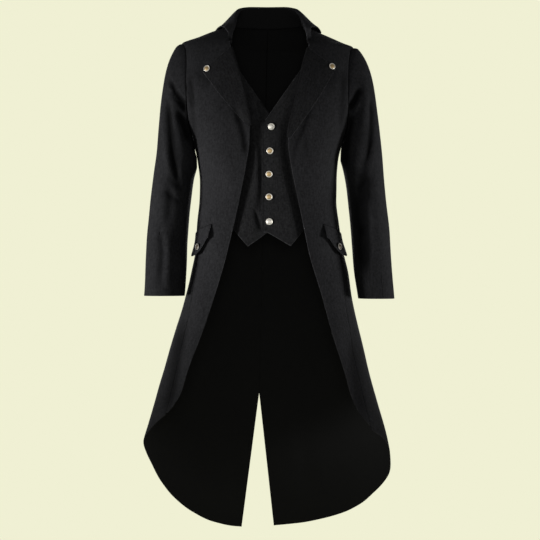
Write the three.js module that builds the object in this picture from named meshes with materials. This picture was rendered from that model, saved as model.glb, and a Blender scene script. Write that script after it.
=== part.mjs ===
// Long cutaway tailcoat with a waistcoat front sewn inside it, filled out as it hangs on a wearer.
// Millimetres. +Z is up, the coat faces -Y, the wearer's left is +X. The origin lies on the midline,
// halfway up the slope of the shoulders, where the wearer carries the coat.
//
// Every cloth piece is a thin wall. Its outer face follows one of two surfaces worked out from rings:
// the body (a rounded-square ring for each height) and the sleeves (a ring for each station).

import * as THREE from 'three';

// ---------------------------------------------------------------- cloth and seams

const CLOTH = 2.0;            // coat cloth with its lining
const WAISTCOAT_CLOTH = 1.8;
const FOLDED_CLOTH = 2.2;     // lapel and flap: two layers pressed together
const COLLAR_CLOTH = 3.0;     // two layers round a stiffener
const SEAM_GAP = 0.4;         // between pieces that meet edge to edge
const LAYER_GAP = 0.6;        // between pieces that lie on each other
const ARMHOLE_GAP = 0.7;      // between the sleeve's head and the edge of the armhole, along the body

// ---------------------------------------------------------------- the wearer's form

// Rows of a table as records, so that each number is read by its column's name.
const table = (columns, rows) =>
  rows.map((row) => Object.fromEntries(columns.map((name, i) => [name, row[i]])));

// Horizontal rings of the body: half widths to the wearer's right and left, depths to the front
// and back, and how square the ring is (2 is an ellipse, more is squarer, less is lens-shaped).
const BODY_RINGS = table(['z', 'right', 'left', 'front', 'back', 'square'], [
  [-1290, 358, 346, 186, 216, 2.2],   // tail tips
  [-1090, 325, 315, 172, 197, 2.2],
  [-1015, 309, 300, 166, 188, 2.2],   // side corners of the skirt
  [-915, 280, 273, 157, 176, 2.2],
  [-790, 246, 240, 144, 156, 2.2],
  [-665, 207, 213, 131, 134, 2.2],    // thigh
  [-600, 191, 202, 124, 120, 2.2],
  [-540, 180, 188, 118, 106, 2.25],   // hip, at the flaps
  [-470, 176, 178, 113, 92, 2.3],
  [-415, 170, 171, 113, 86, 2.3],     // waist
  [-370, 169, 172, 118, 90, 2.3],
  [-320, 174, 176, 124, 97, 2.35],
  [-270, 186, 188, 126, 103, 2.5],    // under the arms
  [-230, 200, 201, 126, 106, 2.7],
  [-180, 211, 211, 123, 108, 2.8],    // chest and shoulder blades
  [-120, 218, 217, 113, 106, 2.7],
  [-70, 219, 218, 100, 99, 2.3],
  [-34, 217, 214, 84, 89, 1.9],       // left shoulder point
  [-24, 214, 190, 76, 84, 1.75],      // right shoulder point
  [-6, 166, 148, 58, 74, 1.6],
  [8, 129, 115, 42, 66, 1.6],
  [20, 97, 88, 24, 60, 1.6],          // neck seam
  [32, 66, 60, 12, 52, 1.7],
]);
const NECK_Z = 20;

// Front edge of each front, from the neck down the roll of the lapel and the cutaway skirt:
// distance from the midline at each height.
const FRONT_EDGE = table(['z', 'right', 'left'], [
  [-978, 281, 258], [-946, 252, 232], [-921, 231, 216], [-886, 210, 202], [-850, 199, 193],
  [-750, 162, 160], [-650, 128, 132], [-555, 100, 103], [-500, 87, 91], [-420, 69, 75],
  [-335, 52, 57], [-281, 44, 50], [-245, 43, 54], [-186, 53, 68], [-145, 61, 77],
  [-95, 75, 87], [-68, 83, 94], [-36, 91, 101], [-5, 93, 98], [20, 92, 87],
]);

// Hem of the tails, from the side seam (70 degrees) round to the centre back (180).
const HEM = table(['angle', 'right', 'left'], [
  [70, -940, -978], [80, -980, -1008], [90, -1018, -1048], [98, -1044, -1096],
  [106, -1081, -1130], [114, -1133, -1163], [122, -1179, -1196], [132, -1220, -1223],
  [144, -1250, -1242], [158, -1264, -1255], [188, -1270, -1266],
]);

// Each side of the coat: 'right' and 'left' are the wearer's.
const SIDES = {
  right: { sign: -1, armTop: -25, armBottom: -270, frontEnd: -938 },
  left: { sign: 1, armTop: -35, armBottom: -264, frontEnd: -974 },
};

const ARMHOLE_SPAN = { front: 17.5, back: 17.5 };   // degrees before and behind the side
const SIDE_SEAM = { low: 71, lowZ: -720 };          // the seam swings forward below the hip
const VENT = { topZ: -906, bottomZ: -1265, x: -22, right: -69, left: 17 };

// ---------------------------------------------------------------- arithmetic

const radians = THREE.MathUtils.degToRad;
const lerp = THREE.MathUtils.lerp;
const smooth = (t) => THREE.MathUtils.smoothstep(t, 0, 1);
const evenly = (count, from = 0, to = 1) =>
  Array.from({ length: count + 1 }, (_, i) => lerp(from, to, i / count));

// Smooth curve through one column of a table, with no overshoot between its rows.
function curve(rows, key, column) {
  const sorted = [...rows].sort((a, b) => a[key] - b[key]);
  const x = sorted.map((row) => row[key]);
  const y = sorted.map((row) => row[column]);
  const rise = x.slice(1).map((right, i) => (y[i + 1] - y[i]) / (right - x[i]));
  const slope = y.map((_, i) => {
    const before = rise[Math.max(i - 1, 0)];
    const after = rise[Math.min(i, rise.length - 1)];
    return before * after <= 0 ? 0 : (2 * before * after) / (before + after);
  });
  return (at) => {
    const value = THREE.MathUtils.clamp(at, x[0], x[x.length - 1]);
    let i = 0;
    while (i < x.length - 2 && value > x[i + 1]) i += 1;
    const h = x[i + 1] - x[i];
    const t = (value - x[i]) / h;
    return y[i] * (1 + 2 * t) * (1 - t) ** 2 + slope[i] * h * t * (1 - t) ** 2
      + y[i + 1] * t * t * (3 - 2 * t) - slope[i + 1] * h * t * t * (1 - t);
  };
}

const curves = (rows, key, columns) =>
  Object.fromEntries(columns.map((column) => [column, curve(rows, key, column)]));

const ring = curves(BODY_RINGS, 'z', ['right', 'left', 'front', 'back', 'square']);
const frontEdgeX = curves(FRONT_EDGE, 'z', ['right', 'left']);
const hemZ = curves(HEM, 'angle', ['right', 'left']);

// ---------------------------------------------------------------- the body surface

// A point of the body: angle 0 is the centre front, +90 the wearer's left side, 180 the back.
function bodyPoint(angle, z) {
  const s = Math.sin(radians(angle));
  const c = Math.cos(radians(angle));
  const width = s >= 0 ? ring.left(z) : ring.right(z);
  const depth = c >= 0 ? ring.front(z) : ring.back(z);
  const power = ring.square(z);
  const radius = (Math.abs(s / width) ** power + Math.abs(c / depth) ** power) ** (-1 / power);
  return new THREE.Vector3(radius * s, -radius * c, z);
}

// Outward direction of the body, from the slopes round the ring and up it.
function bodyNormal(angle, z) {
  const ANGLE_STEP = 1.5;
  const Z_STEP = 3;
  const round = bodyPoint(angle + ANGLE_STEP, z).sub(bodyPoint(angle - ANGLE_STEP, z));
  const up = bodyPoint(angle, z + Z_STEP).sub(bodyPoint(angle, z - Z_STEP));
  return round.cross(up).normalize();
}

// A point moved off the body's face: outwards if lift is positive.
const lifted = (angle, z, lift) =>
  bodyPoint(angle, z).addScaledVector(bodyNormal(angle, z), lift);

// Angle at which the front of the ring at z lies x to the side of the midline.
function angleAt(x, z) {
  let low = -90;
  let high = 90;
  for (let i = 0; i < 40; i += 1) {
    const middle = (low + high) / 2;
    if (bodyPoint(middle, z).x < x) low = middle;
    else high = middle;
  }
  return (low + high) / 2;
}

// Angle at which the back of the ring at z lies x to the side of the midline, from 90 to 270.
function backAngleAt(x, z) {
  let low = 90;
  let high = 270;
  for (let i = 0; i < 40; i += 1) {
    const middle = (low + high) / 2;
    if (bodyPoint(middle, z).x > x) low = middle;
    else high = middle;
  }
  return (low + high) / 2;
}

// Degrees that a gap of so many millimetres takes on the ring at z.
function gapAngle(angle, z, gap) {
  const arc = bodyPoint(angle + 1, z).distanceTo(bodyPoint(angle - 1, z));
  return (2 * gap) / arc;
}

// ---------------------------------------------------------------- seams of the body, in angles

// The side seam: straight below the arm, swinging forward over the hip. Angles are unsigned here.
function sideSeam(side, z) {
  const top = SIDES[side].armBottom;
  const share = smooth((top - z) / (top - SIDE_SEAM.lowZ));
  return lerp(90, SIDE_SEAM.low, share);
}

// Half-span of the armhole at z, in degrees: an oval from armBottom to armTop.
function armholeSpan(side, z, face) {
  const { armTop, armBottom } = SIDES[side];
  const half = (armTop - armBottom) / 2;
  const height = THREE.MathUtils.clamp((z - armBottom - half) / half, -1, 1);
  return ARMHOLE_SPAN[face] * Math.sqrt(1 - height ** 2);
}

// Where a front or back ends at the side: side seam, armhole or shoulder seam.
function sideAngle(side, z, face) {
  const { armTop, armBottom } = SIDES[side];
  if (z <= armBottom) return sideSeam(side, z);
  if (z >= armTop) return 90;
  return 90 + (face === 'front' ? -1 : 1) * armholeSpan(side, z, face);
}

const frontAngle = (side, z) =>
  Math.abs(angleAt(SIDES[side].sign * frontEdgeX[side](z), z));

// The centre back seam slants to the top of the vent, and the vent's edges part below it.
function backX(side, z) {
  if (z >= VENT.topZ) return (VENT.x * (NECK_Z - z)) / (NECK_Z - VENT.topZ);
  return lerp(VENT.x, VENT[side], (VENT.topZ - z) / (VENT.topZ - VENT.bottomZ));
}

function centreBackAngle(side, z) {
  const angle = backAngleAt(backX(side, z), z);
  return side === 'left' ? angle : 360 - angle;
}

// ---------------------------------------------------------------- solids from walls

const MATERIALS = {
  coat: [0x1f1f20, 0.85, 0],
  lapel: [0x1a1a1b, 0.85, 0],
  waistcoat: [0x1c1c1d, 0.85, 0],
  snap: [0x9c8560, 0.35, 1],
};

const coat = new THREE.Group();

function addPiece(name, geometry, finish) {
  const [color, roughness, metalness] = MATERIALS[finish];
  const material = new THREE.MeshStandardMaterial({ color, roughness, metalness });
  const mesh = new THREE.Mesh(geometry, material);
  mesh.name = name;
  coat.add(mesh);
  return mesh;
}

// A closed wall from two grids of points, outer[row][column] and inner[row][column].
function wall(outer, inner) {
  const rows = outer.length;
  const columns = outer[0].length;
  const points = [...outer.flat(), ...inner.flat()];
  const out = (i, j) => i * columns + j;
  const into = (i, j) => rows * columns + out(i, j);
  const faces = [];
  const quad = (a, b, c, d) => faces.push(a, b, c, a, c, d);
  for (let i = 0; i < rows - 1; i += 1) {
    for (let j = 0; j < columns - 1; j += 1) {
      quad(out(i, j), out(i, j + 1), out(i + 1, j + 1), out(i + 1, j));
      quad(into(i, j), into(i + 1, j), into(i + 1, j + 1), into(i, j + 1));
    }
    quad(out(i, 0), out(i + 1, 0), into(i + 1, 0), into(i, 0));
    quad(out(i, columns - 1), into(i, columns - 1), into(i + 1, columns - 1), out(i + 1, columns - 1));
  }
  for (let j = 0; j < columns - 1; j += 1) {
    quad(out(0, j), into(0, j), into(0, j + 1), out(0, j + 1));
    quad(out(rows - 1, j), out(rows - 1, j + 1), into(rows - 1, j + 1), into(rows - 1, j));
  }
  let volume = 0;
  for (let k = 0; k < faces.length; k += 3) {
    const [a, b, c] = [points[faces[k]], points[faces[k + 1]], points[faces[k + 2]]];
    volume += a.dot(b.clone().cross(c));
  }
  if (volume < 0) faces.reverse();
  return new THREE.BufferGeometry().setFromPoints(points).setIndex(faces);
}

// A wall on the body. place(row, column) gives an angle, a height and how far the outer face is
// lifted off the body.
function bodyWall(rows, columns, place, thickness) {
  const grid = rows.map((row) => columns.map((column) => place(row, column)));
  const at = (depth) =>
    grid.map((line) => line.map(({ angle, z, lift = 0 }) => lifted(angle, z, lift - depth)));
  return wall(at(0), at(thickness));
}

// ---------------------------------------------------------------- fronts and back

// Heights of the rows of a front or back, from low up to the neck, closer at the armhole's ends.
function heights(side, low, skirtRows, armRows, shoulderRows) {
  const { armTop, armBottom } = SIDES[side];
  const half = (armTop - armBottom) / 2;
  const skirt = evenly(skirtRows, low, armBottom);
  const arm = evenly(armRows, 180, 0).map((turn) => armBottom + half + half * Math.cos(radians(turn)));
  const shoulder = evenly(shoulderRows, armTop, NECK_Z);
  return [...skirt, ...arm.slice(1), ...shoulder.slice(1)];
}

function front(side) {
  const { sign, frontEnd } = SIDES[side];
  const place = (z, share) => {
    const start = frontAngle(side, z);
    const end = sideAngle(side, z, 'front');
    const gap = gapAngle(sign * end, z, SEAM_GAP / 2);
    return { angle: sign * lerp(start, end - gap, share), z };
  };
  return bodyWall(heights(side, frontEnd, 16, 9, 3), evenly(9), place, CLOTH);
}

// Below this height the rows of the back bend down towards the hem.
const HEM_TURN_Z = -880;

function back(side) {
  const { sign } = SIDES[side];
  const hemRows = evenly(7).slice(0, -1).map((share) => ({ hem: 1 - share }));
  const levelRows = heights(side, HEM_TURN_Z, 13, 9, 3).map((z) => ({ z, hem: 0 }));
  const angleOn = (z, share) => {
    const start = sideAngle(side, z, 'back');
    const end = centreBackAngle(side, z);
    return lerp(
      start + gapAngle(sign * start, z, SEAM_GAP / 2),
      end - gapAngle(sign * end, z, SEAM_GAP / 2),
      share,
    );
  };
  const place = ({ z: level, hem }, share) => {
    if (!hem) return { angle: sign * angleOn(level, share), z: level };
    let z = HEM_TURN_Z;
    for (let i = 0; i < 12; i += 1) z = lerp(HEM_TURN_Z, hemZ[side](angleOn(z, share)), hem);
    return { angle: sign * angleOn(z, share), z };
  };
  return bodyWall([...hemRows, ...levelRows], evenly(14), place, CLOTH);
}

// ---------------------------------------------------------------- sleeves

// Stations of a sleeve from the armhole to the cuff. Each ring is hung between an outer and an
// inner point, given by height and distance from the midline, with its depths to front and back.
const SLEEVE_RINGS = table(
  ['outerZ', 'innerZ', 'outerRight', 'outerLeft', 'innerRight', 'innerLeft', 'middleY', 'front', 'back'],
  [
    [-30, -270, 214, 214, 187, 189, 1, 60, 60],
    [-33, -274, 225, 224, 185, 187, 1, 66, 66],
    [-60, -284, 243, 243, 181, 183, 1, 70, 71],
    [-98, -296, 255, 258, 180, 182, 1, 71, 73],
    [-150, -312, 264, 269, 178, 182, 0, 70, 73],
    [-215, -330, 270, 277, 178, 188, -1, 68, 71],
    [-285, -360, 276, 284, 184, 194, -2, 65, 68],
    [-350, -402, 284, 291, 189, 200, -4, 62, 65],
    [-420, -450, 292, 297, 194, 204, -8, 59, 62],
    [-500, -512, 299, 304, 198, 209, -14, 56, 58],
    [-580, -584, 303, 309, 201, 215, -20, 53, 54],
    [-654, -654, 307, 314, 205, 224, -25, 51, 51],
  ],
);
const CUFF_DROP = { right: 0, left: -7 };     // the left arm hangs a little lower
const SLEEVE_SQUARE = 2.15;
const SLEEVE_SEAMS = [110, 290];              // degrees round the sleeve: outer and inner seams
const SLEEVE_CLEAR = 1.6;                     // between a hanging sleeve and the body

// Soft folds of the sleeves, troughs if their height is negative. Each runs along a line seen from
// the front, given by distances from the midline and heights.
const SLEEVE_FOLDS = table(
  ['side', 'face', 'x', 'z', 'xEnd', 'zEnd', 'height', 'width'],
  [
    ['right', 'front', 250, -118, 200, -198, -4.5, 11],   // drag from the shoulder to the armpit
    ['right', 'front', 256, -150, 222, -400, -4, 12],
    ['right', 'front', 262, -470, 246, -620, 3, 15],
    ['right', 'back', 252, -120, 205, -230, -4, 13],
    ['right', 'back', 262, -300, 232, -460, -4, 13],
    ['left', 'front', 246, -122, 209, -192, -4.5, 11],
    ['left', 'front', 263, -165, 254, -340, -4.5, 12],
    ['left', 'front', 260, -370, 264, -620, 3, 15],
    ['left', 'back', 250, -110, 208, -215, -4, 13],
    ['left', 'back', 268, -320, 240, -470, -4, 13],
  ],
);
const STATIONS = SLEEVE_RINGS.length - 1;

// Smooth curve through a column of the sleeve's rings, by station.
const sleeveRows = SLEEVE_RINGS.map((row, station) => ({ ...row, station }));
const sleeve = curves(sleeveRows, 'station', Object.keys(SLEEVE_RINGS[0]));

// The armhole's edge on the body, by turn: 0 under the arm, 90 front, 180 shoulder, 270 back.
function armholeEdge(side, turn, clear) {
  const { sign, armTop, armBottom } = SIDES[side];
  const half = (armTop - armBottom) / 2;
  const z = armBottom + half - half * Math.cos(radians(turn));
  const face = turn <= 180 ? 'front' : 'back';
  const span = ARMHOLE_SPAN[face] * Math.sin(radians(turn));
  const centre = bodyPoint(sign * 90, armBottom + half);
  const edge = bodyPoint(sign * (90 - span), z);
  const outward = new THREE.Vector3(sign, 0, 0);
  const away = centre.setX(edge.x).sub(edge).normalize();
  return edge.addScaledVector(outward, SEAM_GAP).addScaledVector(away, clear);
}

// A ring's own point by turn, before the armhole's edge and the folds are worked in.
function sleeveRing(side, turn, station) {
  const { sign } = SIDES[side];
  const suffix = side === 'right' ? 'Right' : 'Left';
  const drop = CUFF_DROP[side] * (station / STATIONS);
  const [outer, inner] = ['outer', 'inner'].map((end) => new THREE.Vector3(
    sign * sleeve[end + suffix](station),
    0,
    sleeve[`${end}Z`](station) + drop,
  ));
  const c = Math.cos(radians(turn));
  const s = Math.sin(radians(turn));
  const round = (Math.abs(c) ** SLEEVE_SQUARE + Math.abs(s) ** SLEEVE_SQUARE) ** (-1 / SLEEVE_SQUARE);
  const depth = s >= 0 ? sleeve.front(station) : sleeve.back(station);
  const point = outer.clone().add(inner).multiplyScalar(0.5);
  point.addScaledVector(outer.sub(inner), (-c * round) / 2);
  point.y = sleeve.middleY(station) - depth * s * round;
  return point;
}

// How far the folds lift the sleeve's face at a point: strongest halfway along each fold's line and
// dying away to the sides of it, and towards the sleeve's outline.
function foldHeight(side, { x, y, z }, middleY) {
  const FADE = 35;
  const face = y < middleY ? 'front' : 'back';
  const folds = SLEEVE_FOLDS.filter((fold) => fold.side === side && fold.face === face);
  const sum = folds.reduce((total, fold) => {
    const run = new THREE.Vector2(fold.xEnd - fold.x, fold.zEnd - fold.z);
    const from = new THREE.Vector2(Math.abs(x) - fold.x, z - fold.z);
    const share = THREE.MathUtils.clamp(from.dot(run) / run.lengthSq(), 0, 1);
    const offset = from.cross(run) / run.length();
    const rise = Math.sin(Math.PI * share) * Math.exp(-((offset / fold.width) ** 2));
    return total + fold.height * rise;
  }, 0);
  return sum * smooth(Math.abs(y - middleY) / FADE);
}

// Distance from the midline at which a sleeve's point stays clear of the body. It lies close at the
// armhole, where it is sewn, and hangs clear further down.
function clearOfBody(side, { x, y, z }, station) {
  const hanging = smooth(station / 0.8);
  const softness = lerp(0.2, 3, hanging);
  const depth = y < 0 ? ring.front(z) : ring.back(z);
  const power = ring.square(z);
  const inside = Math.max(1 - Math.abs(y / depth) ** power, 0);
  const nearest = ring[side](z) * inside ** (1 / power) + lerp(SEAM_GAP, SLEEVE_CLEAR, hanging);
  const own = Math.abs(x);
  return (own + nearest + Math.hypot(own - nearest, softness)) / 2;
}

// The sleeve's outer face. It starts at the armhole's edge and eases into its own rings.
function sleevePoint(side, turn, station) {
  const START_EASE = 2.4;
  const ease = 1 - smooth(station / START_EASE);
  const point = sleeveRing(side, turn, station);
  const start = armholeEdge(side, turn, ARMHOLE_GAP).sub(sleeveRing(side, turn, 0));
  point.addScaledVector(start, ease);
  return point.setX(SIDES[side].sign * clearOfBody(side, point, station));
}

function sleeveNormal(side, turn, station) {
  const TURN_STEP = 3;
  const STATION_STEP = 0.05;
  const ahead = Math.min(station + STATION_STEP, STATIONS);
  const behind = Math.max(station - STATION_STEP, 0);
  const round = sleevePoint(side, (turn + TURN_STEP) % 360, station)
    .sub(sleevePoint(side, (turn - TURN_STEP + 360) % 360, station));
  const along = sleevePoint(side, turn, ahead).sub(sleevePoint(side, turn, behind));
  return along.cross(round).multiplyScalar(SIDES[side].sign).normalize();
}

function sleeveHalf(side, from, to, columns) {
  const stations = [0, 0.35, 0.8, ...evenly(14, 1.3, STATIONS)];
  const turns = evenly(columns, from, to);
  const at = (depth) => stations.map((station) => turns.map((turn, i) => {
    const seam = i === 0 ? 1 : i === columns ? -1 : 0;
    const gap = THREE.MathUtils.radToDeg(SEAM_GAP / 2 / 50) * seam;
    const here = (turn + gap + 360) % 360;
    const point = sleevePoint(side, here, station);
    const lift = foldHeight(side, point, sleeve.middleY(station)) - depth;
    return point.addScaledVector(sleeveNormal(side, here, station), lift);
  }));
  return wall(at(0), at(CLOTH));
}

// ---------------------------------------------------------------- lapels

// The turned-back lapel is a triangle on the front: from the break, where the roll ends, to the
// top of the roll and to its outer corner. Distances from the midline and heights.
const LAPELS = {
  right: { breakZ: -247, topZ: -44, cornerX: 160, cornerZ: -103 },
  left: { breakZ: -279, topZ: -46, cornerX: 168, cornerZ: -97 },
};
const ROLL = { radius: 4.4, centre: -1.0 };       // the soft fold round the front's edge
const LAPEL_REST = { roll: 3.4, edge: 2.9 };      // outer face above the front's

// Point of the lapel, with across running from the roll to the outer edge.
function lapelPlace(side, along, across) {
  const { sign } = SIDES[side];
  const { breakZ, topZ, cornerX, cornerZ } = LAPELS[side];
  const rollZ = lerp(breakZ, topZ, along);
  const bow = 5 * Math.sin(Math.PI * along);      // the outer edge bows out a little
  const x = lerp(frontEdgeX[side](rollZ), lerp(frontEdgeX[side](breakZ), cornerX, along) + bow, across);
  const z = lerp(rollZ, lerp(breakZ, cornerZ, along), across);
  return { x: sign * x, z };
}

function lapel(side) {
  const { sign } = SIDES[side];
  const rows = evenly(11, 0.04, 1);
  const arc = [-20, 25, 60, 90];                  // degrees round the roll
  const flat = evenly(7, 0.09, 1);
  const at = (depth) => rows.map((along) => {
    const roll = arc.map((turn) => {
      const { x, z } = lapelPlace(side, along, 0);
      const radius = ROLL.radius - depth;
      const shift = -radius * Math.cos(radians(turn)) - LAYER_GAP;
      const angle = angleAt(x, z) + sign * gapAngle(angleAt(x, z), z, shift);
      return lifted(angle, z, ROLL.centre + radius * Math.sin(radians(turn)));
    });
    const rest = flat.map((across) => {
      const { x, z } = lapelPlace(side, along, across);
      return lifted(angleAt(x, z), z, lerp(LAPEL_REST.roll, LAPEL_REST.edge, across) - depth);
    });
    return [...roll, ...rest];
  });
  return wall(at(0), at(FOLDED_CLOTH));
}

// ---------------------------------------------------------------- collar

// The collar stands up from the neck seam, rolls over at its top and falls outside. Sections run
// from the centre back (0) to the front end (1). Each has the top of its roll and the fall's free
// edge, and how far out and at what height the fall bends between them. Distances from the
// midline differ a little between the wearer's right and left.
const COLLAR = table(
  [
    'along', 'rollRight', 'rollLeft', 'rollY', 'rollZ',
    'edgeRight', 'edgeLeft', 'edgeY', 'edgeZ', 'bend', 'bendZ',
  ],
  [
    [0.00, 0, 0, 68, 78, 0, 0, 82, 12, 0.75, 50],
    [0.22, 42, 42, 59, 77, 54, 54, 78, 8, 0.7, 48],
    [0.42, 73, 73, 37, 69, 116, 118, 51, 2, 0.45, 55],
    [0.54, 77, 83, 16, 55, 134, 136, 20, 6, 0.5, 36],
    [0.66, 79, 91, -8, 34, 121, 124, -10, 17, 0.5, 28],
    [0.76, 83, 97, -36, 10, 111, 112, -32, 15, 0.55, 14],   // the front corner
    [0.82, 87, 99, -51, -2, 101, 107, -50, 4, 0.6, 2],
    [0.89, 89, 100, -66, -13, 96, 107, -65, -8, 0.6, -11],
    [1.00, 90, 101, -81, -29, 96, 107, -80, -28, 0.6, -29],
  ],
);
const collarCurve = curves(COLLAR, 'along', Object.keys(COLLAR[0]));
const COLLAR_ENDS = { sideShare: 0.62, frontZ: -34 };
const COLLAR_ROLL = { back: 6, front: 4.4 };       // radius of the roll's outer face
const COLLAR_FOOT = 1.4;                           // above the cloth at the neck seam

// The neck seam: round the back neck at one height, then down the front edge.
function neckSeam(side, along) {
  const { sign } = SIDES[side];
  const { sideShare, frontZ } = COLLAR_ENDS;
  if (along <= sideShare) {
    const [back, front] = [centreBackAngle(side, NECK_Z), frontAngle(side, NECK_Z)];
    return { angle: sign * lerp(back, front, along / sideShare), z: NECK_Z };
  }
  const z = lerp(NECK_Z, frontZ, (along - sideShare) / (1 - sideShare));
  return { angle: sign * frontAngle(side, z), z };
}

// One section, as points of the outer face with the outer face's direction at each.
function collarSection(side, along) {
  const { sign } = SIDES[side];
  const { angle, z } = neckSeam(side, along);
  const seam = lifted(angle, z, COLLAR_FOOT);
  const [roll, edge] = ['roll', 'edge'].map((name) => new THREE.Vector3(
    sign * collarCurve[name + (side === 'right' ? 'Right' : 'Left')](along),
    collarCurve[`${name}Y`](along),
    collarCurve[`${name}Z`](along),
  ));
  const bend = roll.clone().lerp(edge, collarCurve.bend(along)).setZ(collarCurve.bendZ(along));
  const up = roll.clone().sub(seam).normalize();
  const fall = bend.clone().sub(roll);
  const out = fall.clone().addScaledVector(up, -fall.dot(up)).normalize();
  const radius = lerp(COLLAR_ROLL.back, COLLAR_ROLL.front, smooth((along - 0.5) / 0.4));
  const centre = roll.clone().addScaledVector(up, -radius);
  const facing = (turn) => up.clone().multiplyScalar(Math.sin(turn)).addScaledVector(out, -Math.cos(turn));
  const turned = fall.angleTo(up);
  const foot = { point: seam.clone().addScaledVector(out, -COLLAR_CLOTH - LAYER_GAP), normal: facing(0) };
  const arc = evenly(4, 0, turned).map((turn) => (
    { point: centre.clone().addScaledVector(facing(turn), radius), normal: facing(turn) }));
  const mid = { point: foot.point.clone().lerp(arc[0].point, 0.5), normal: facing(0) };
  const last = arc[arc.length - 1].point;
  const leaf = new THREE.QuadraticBezierCurve3(last, bend, edge);
  const axis = up.clone().cross(out);
  const rest = evenly(4).slice(1).map((share) => {
    const slope = leaf.getTangent(share);
    return { point: leaf.getPoint(share), normal: slope.cross(axis).normalize() };
  });
  return [foot, mid, ...arc, ...rest];
}

function collar() {
  const { sideShare } = COLLAR_ENDS;
  const shares = [
    0, 0.11, 0.22, 0.32, 0.42, 0.49, 0.55, 0.59, sideShare, 0.64,
    0.67, 0.71, 0.76, 0.79, 0.82, 0.89, 1,
  ];
  const sections = [
    ...shares.slice(1).reverse().map((along) => collarSection('right', along)),
    ...shares.map((along) => collarSection('left', along)),
  ];
  const at = (depth) => sections.map((section) =>
    section.map(({ point, normal }) => point.clone().addScaledVector(normal, -depth)));
  return wall(at(0), at(COLLAR_CLOTH));
}

// ---------------------------------------------------------------- waistcoat front

// Each waistcoat front is sewn inside the coat front, a strip's width behind its edge. The left
// one laps over the right one and carries the snaps.
const WAISTCOAT = {
  seamInset: 40,             // from the coat's front edge to the seam that holds the waistcoat
  lapEdgeX: -13,             // visible edge of the left front
  underEdgeX: 22,            // hidden edge of the right front
  neckZ: -226,               // where the neckline leaves the lap edge
  notchX: 0, notchZ: -498,   // hem at the centre
  neckSlope: 0.69,           // sideways run of the neckline for each millimetre up
  topZ: -62,
};
const WAISTCOAT_POINT = {
  right: { x: 49, z: -532, hemSlope: 1.1 },
  left: { x: 58, z: -531, hemSlope: 1.15 },
};
const WAISTCOAT_LIFT = { seam: -3.4, middle: -9.5, lap: 2.8 };

// Hem of a waistcoat front at x from the midline: down from the notch to the point, then up.
function waistcoatHem(side, x) {
  const { x: pointX, z: pointZ, hemSlope } = WAISTCOAT_POINT[side];
  const { notchZ } = WAISTCOAT;
  if (x < pointX) return lerp(notchZ, pointZ, THREE.MathUtils.clamp(x / pointX, 0, 1));
  return pointZ + (x - pointX) * hemSlope;
}

// Inner boundary at z, from the midline towards this side: the front edge, then the neckline.
function waistcoatInner(side, z) {
  const { lapEdgeX, underEdgeX, neckZ, neckSlope } = WAISTCOAT;
  const edge = side === 'left' ? lapEdgeX : -underEdgeX;
  const neck = lapEdgeX + (z - neckZ) * neckSlope + (side === 'left' ? 7 : -5);
  return Math.max(edge, neck);
}

const waistcoatSeam = (side, z) => frontEdgeX[side](z) + WAISTCOAT.seamInset;

function waistcoat(side) {
  const { sign } = SIDES[side];
  const point = WAISTCOAT_POINT[side];
  const LEVEL_Z = -440;
  const kinkZ = side === 'left' ? WAISTCOAT.neckZ : WAISTCOAT.neckZ + 49;
  const levels = [
    ...evenly(6, LEVEL_Z, kinkZ),
    ...evenly(6, kinkZ, WAISTCOAT.topZ).slice(1),
  ];
  const rows = [{ hem: 1 }, { hem: 0.66 }, { hem: 0.33 }, ...levels.map((z) => ({ z, hem: 0 }))];
  const columns = [...evenly(5, 0, 0.55), ...evenly(4, 0.55, 1).slice(1)];
  // x on the row at z: the point's column stays at one share of the row.
  const xOn = (z, share) => {
    const inner = waistcoatInner(side, z);
    const outer = waistcoatSeam(side, z);
    const middle = lerp(inner, outer, 0.55);
    const low = smooth((WAISTCOAT.neckZ - z) / (WAISTCOAT.neckZ - LEVEL_Z));
    const bend = lerp(middle, point.x, low);
    return share <= 0.55 ? lerp(inner, bend, share / 0.55) : lerp(bend, outer, (share - 0.55) / 0.45);
  };
  const place = ({ z: level, hem }, share) => {
    let z = level ?? LEVEL_Z;
    for (let i = 0; hem && i < 12; i += 1) {
      z = lerp(LEVEL_Z, waistcoatHem(side, xOn(z, share)), hem);
    }
    const x = xOn(z, share);
    const seam = smooth((share - 0.45) / 0.55);
    const under = side === 'right' ? WAISTCOAT_LIFT.lap * smooth((38 - x) / 16) : 0;
    const lift = lerp(WAISTCOAT_LIFT.middle - (side === 'right' ? under : 0), WAISTCOAT_LIFT.seam, seam);
    return { angle: angleAt(sign * x, z), z, lift };
  };
  return bodyWall(rows, columns, place, WAISTCOAT_CLOTH);
}

// ---------------------------------------------------------------- pocket flaps

// A flap hangs from its slanted top edge, square at its ends and pointed at the middle.
const FLAP = {
  frontAngle: 59.5, backAngle: 88.6, frontZ: -477, backZ: -501,
  endDrop: 35, pointDrop: 67.5, shoulder: 0.86, flare: 12.5, snapShare: 0.4, snapDrop: 47,
};

// Angle and height on the body, for a share of the flap's width and a drop below its top edge.
function flapPlace(share, drop) {
  return {
    angle: lerp(FLAP.frontAngle, FLAP.backAngle, share),
    z: lerp(FLAP.frontZ, FLAP.backZ, share) - drop,
  };
}

const flapDrop = (share) =>
  lerp(FLAP.endDrop, FLAP.pointDrop, smooth((1 - Math.abs(share - 0.5) * 2) / FLAP.shoulder));

function flapLift(share, drop) {
  const hang = drop / FLAP.pointDrop;
  return LAYER_GAP + FOLDED_CLOTH + FLAP.flare * hang ** 2;
}

function flap(side) {
  const { sign } = SIDES[side];
  const place = (down, share) => {
    const drop = down * flapDrop(share);
    const { angle, z } = flapPlace(share, drop);
    return { angle: sign * angle, z, lift: flapLift(share, drop) };
  };
  return bodyWall(evenly(6), evenly(10), place, FOLDED_CLOTH);
}

// ---------------------------------------------------------------- snaps

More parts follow.
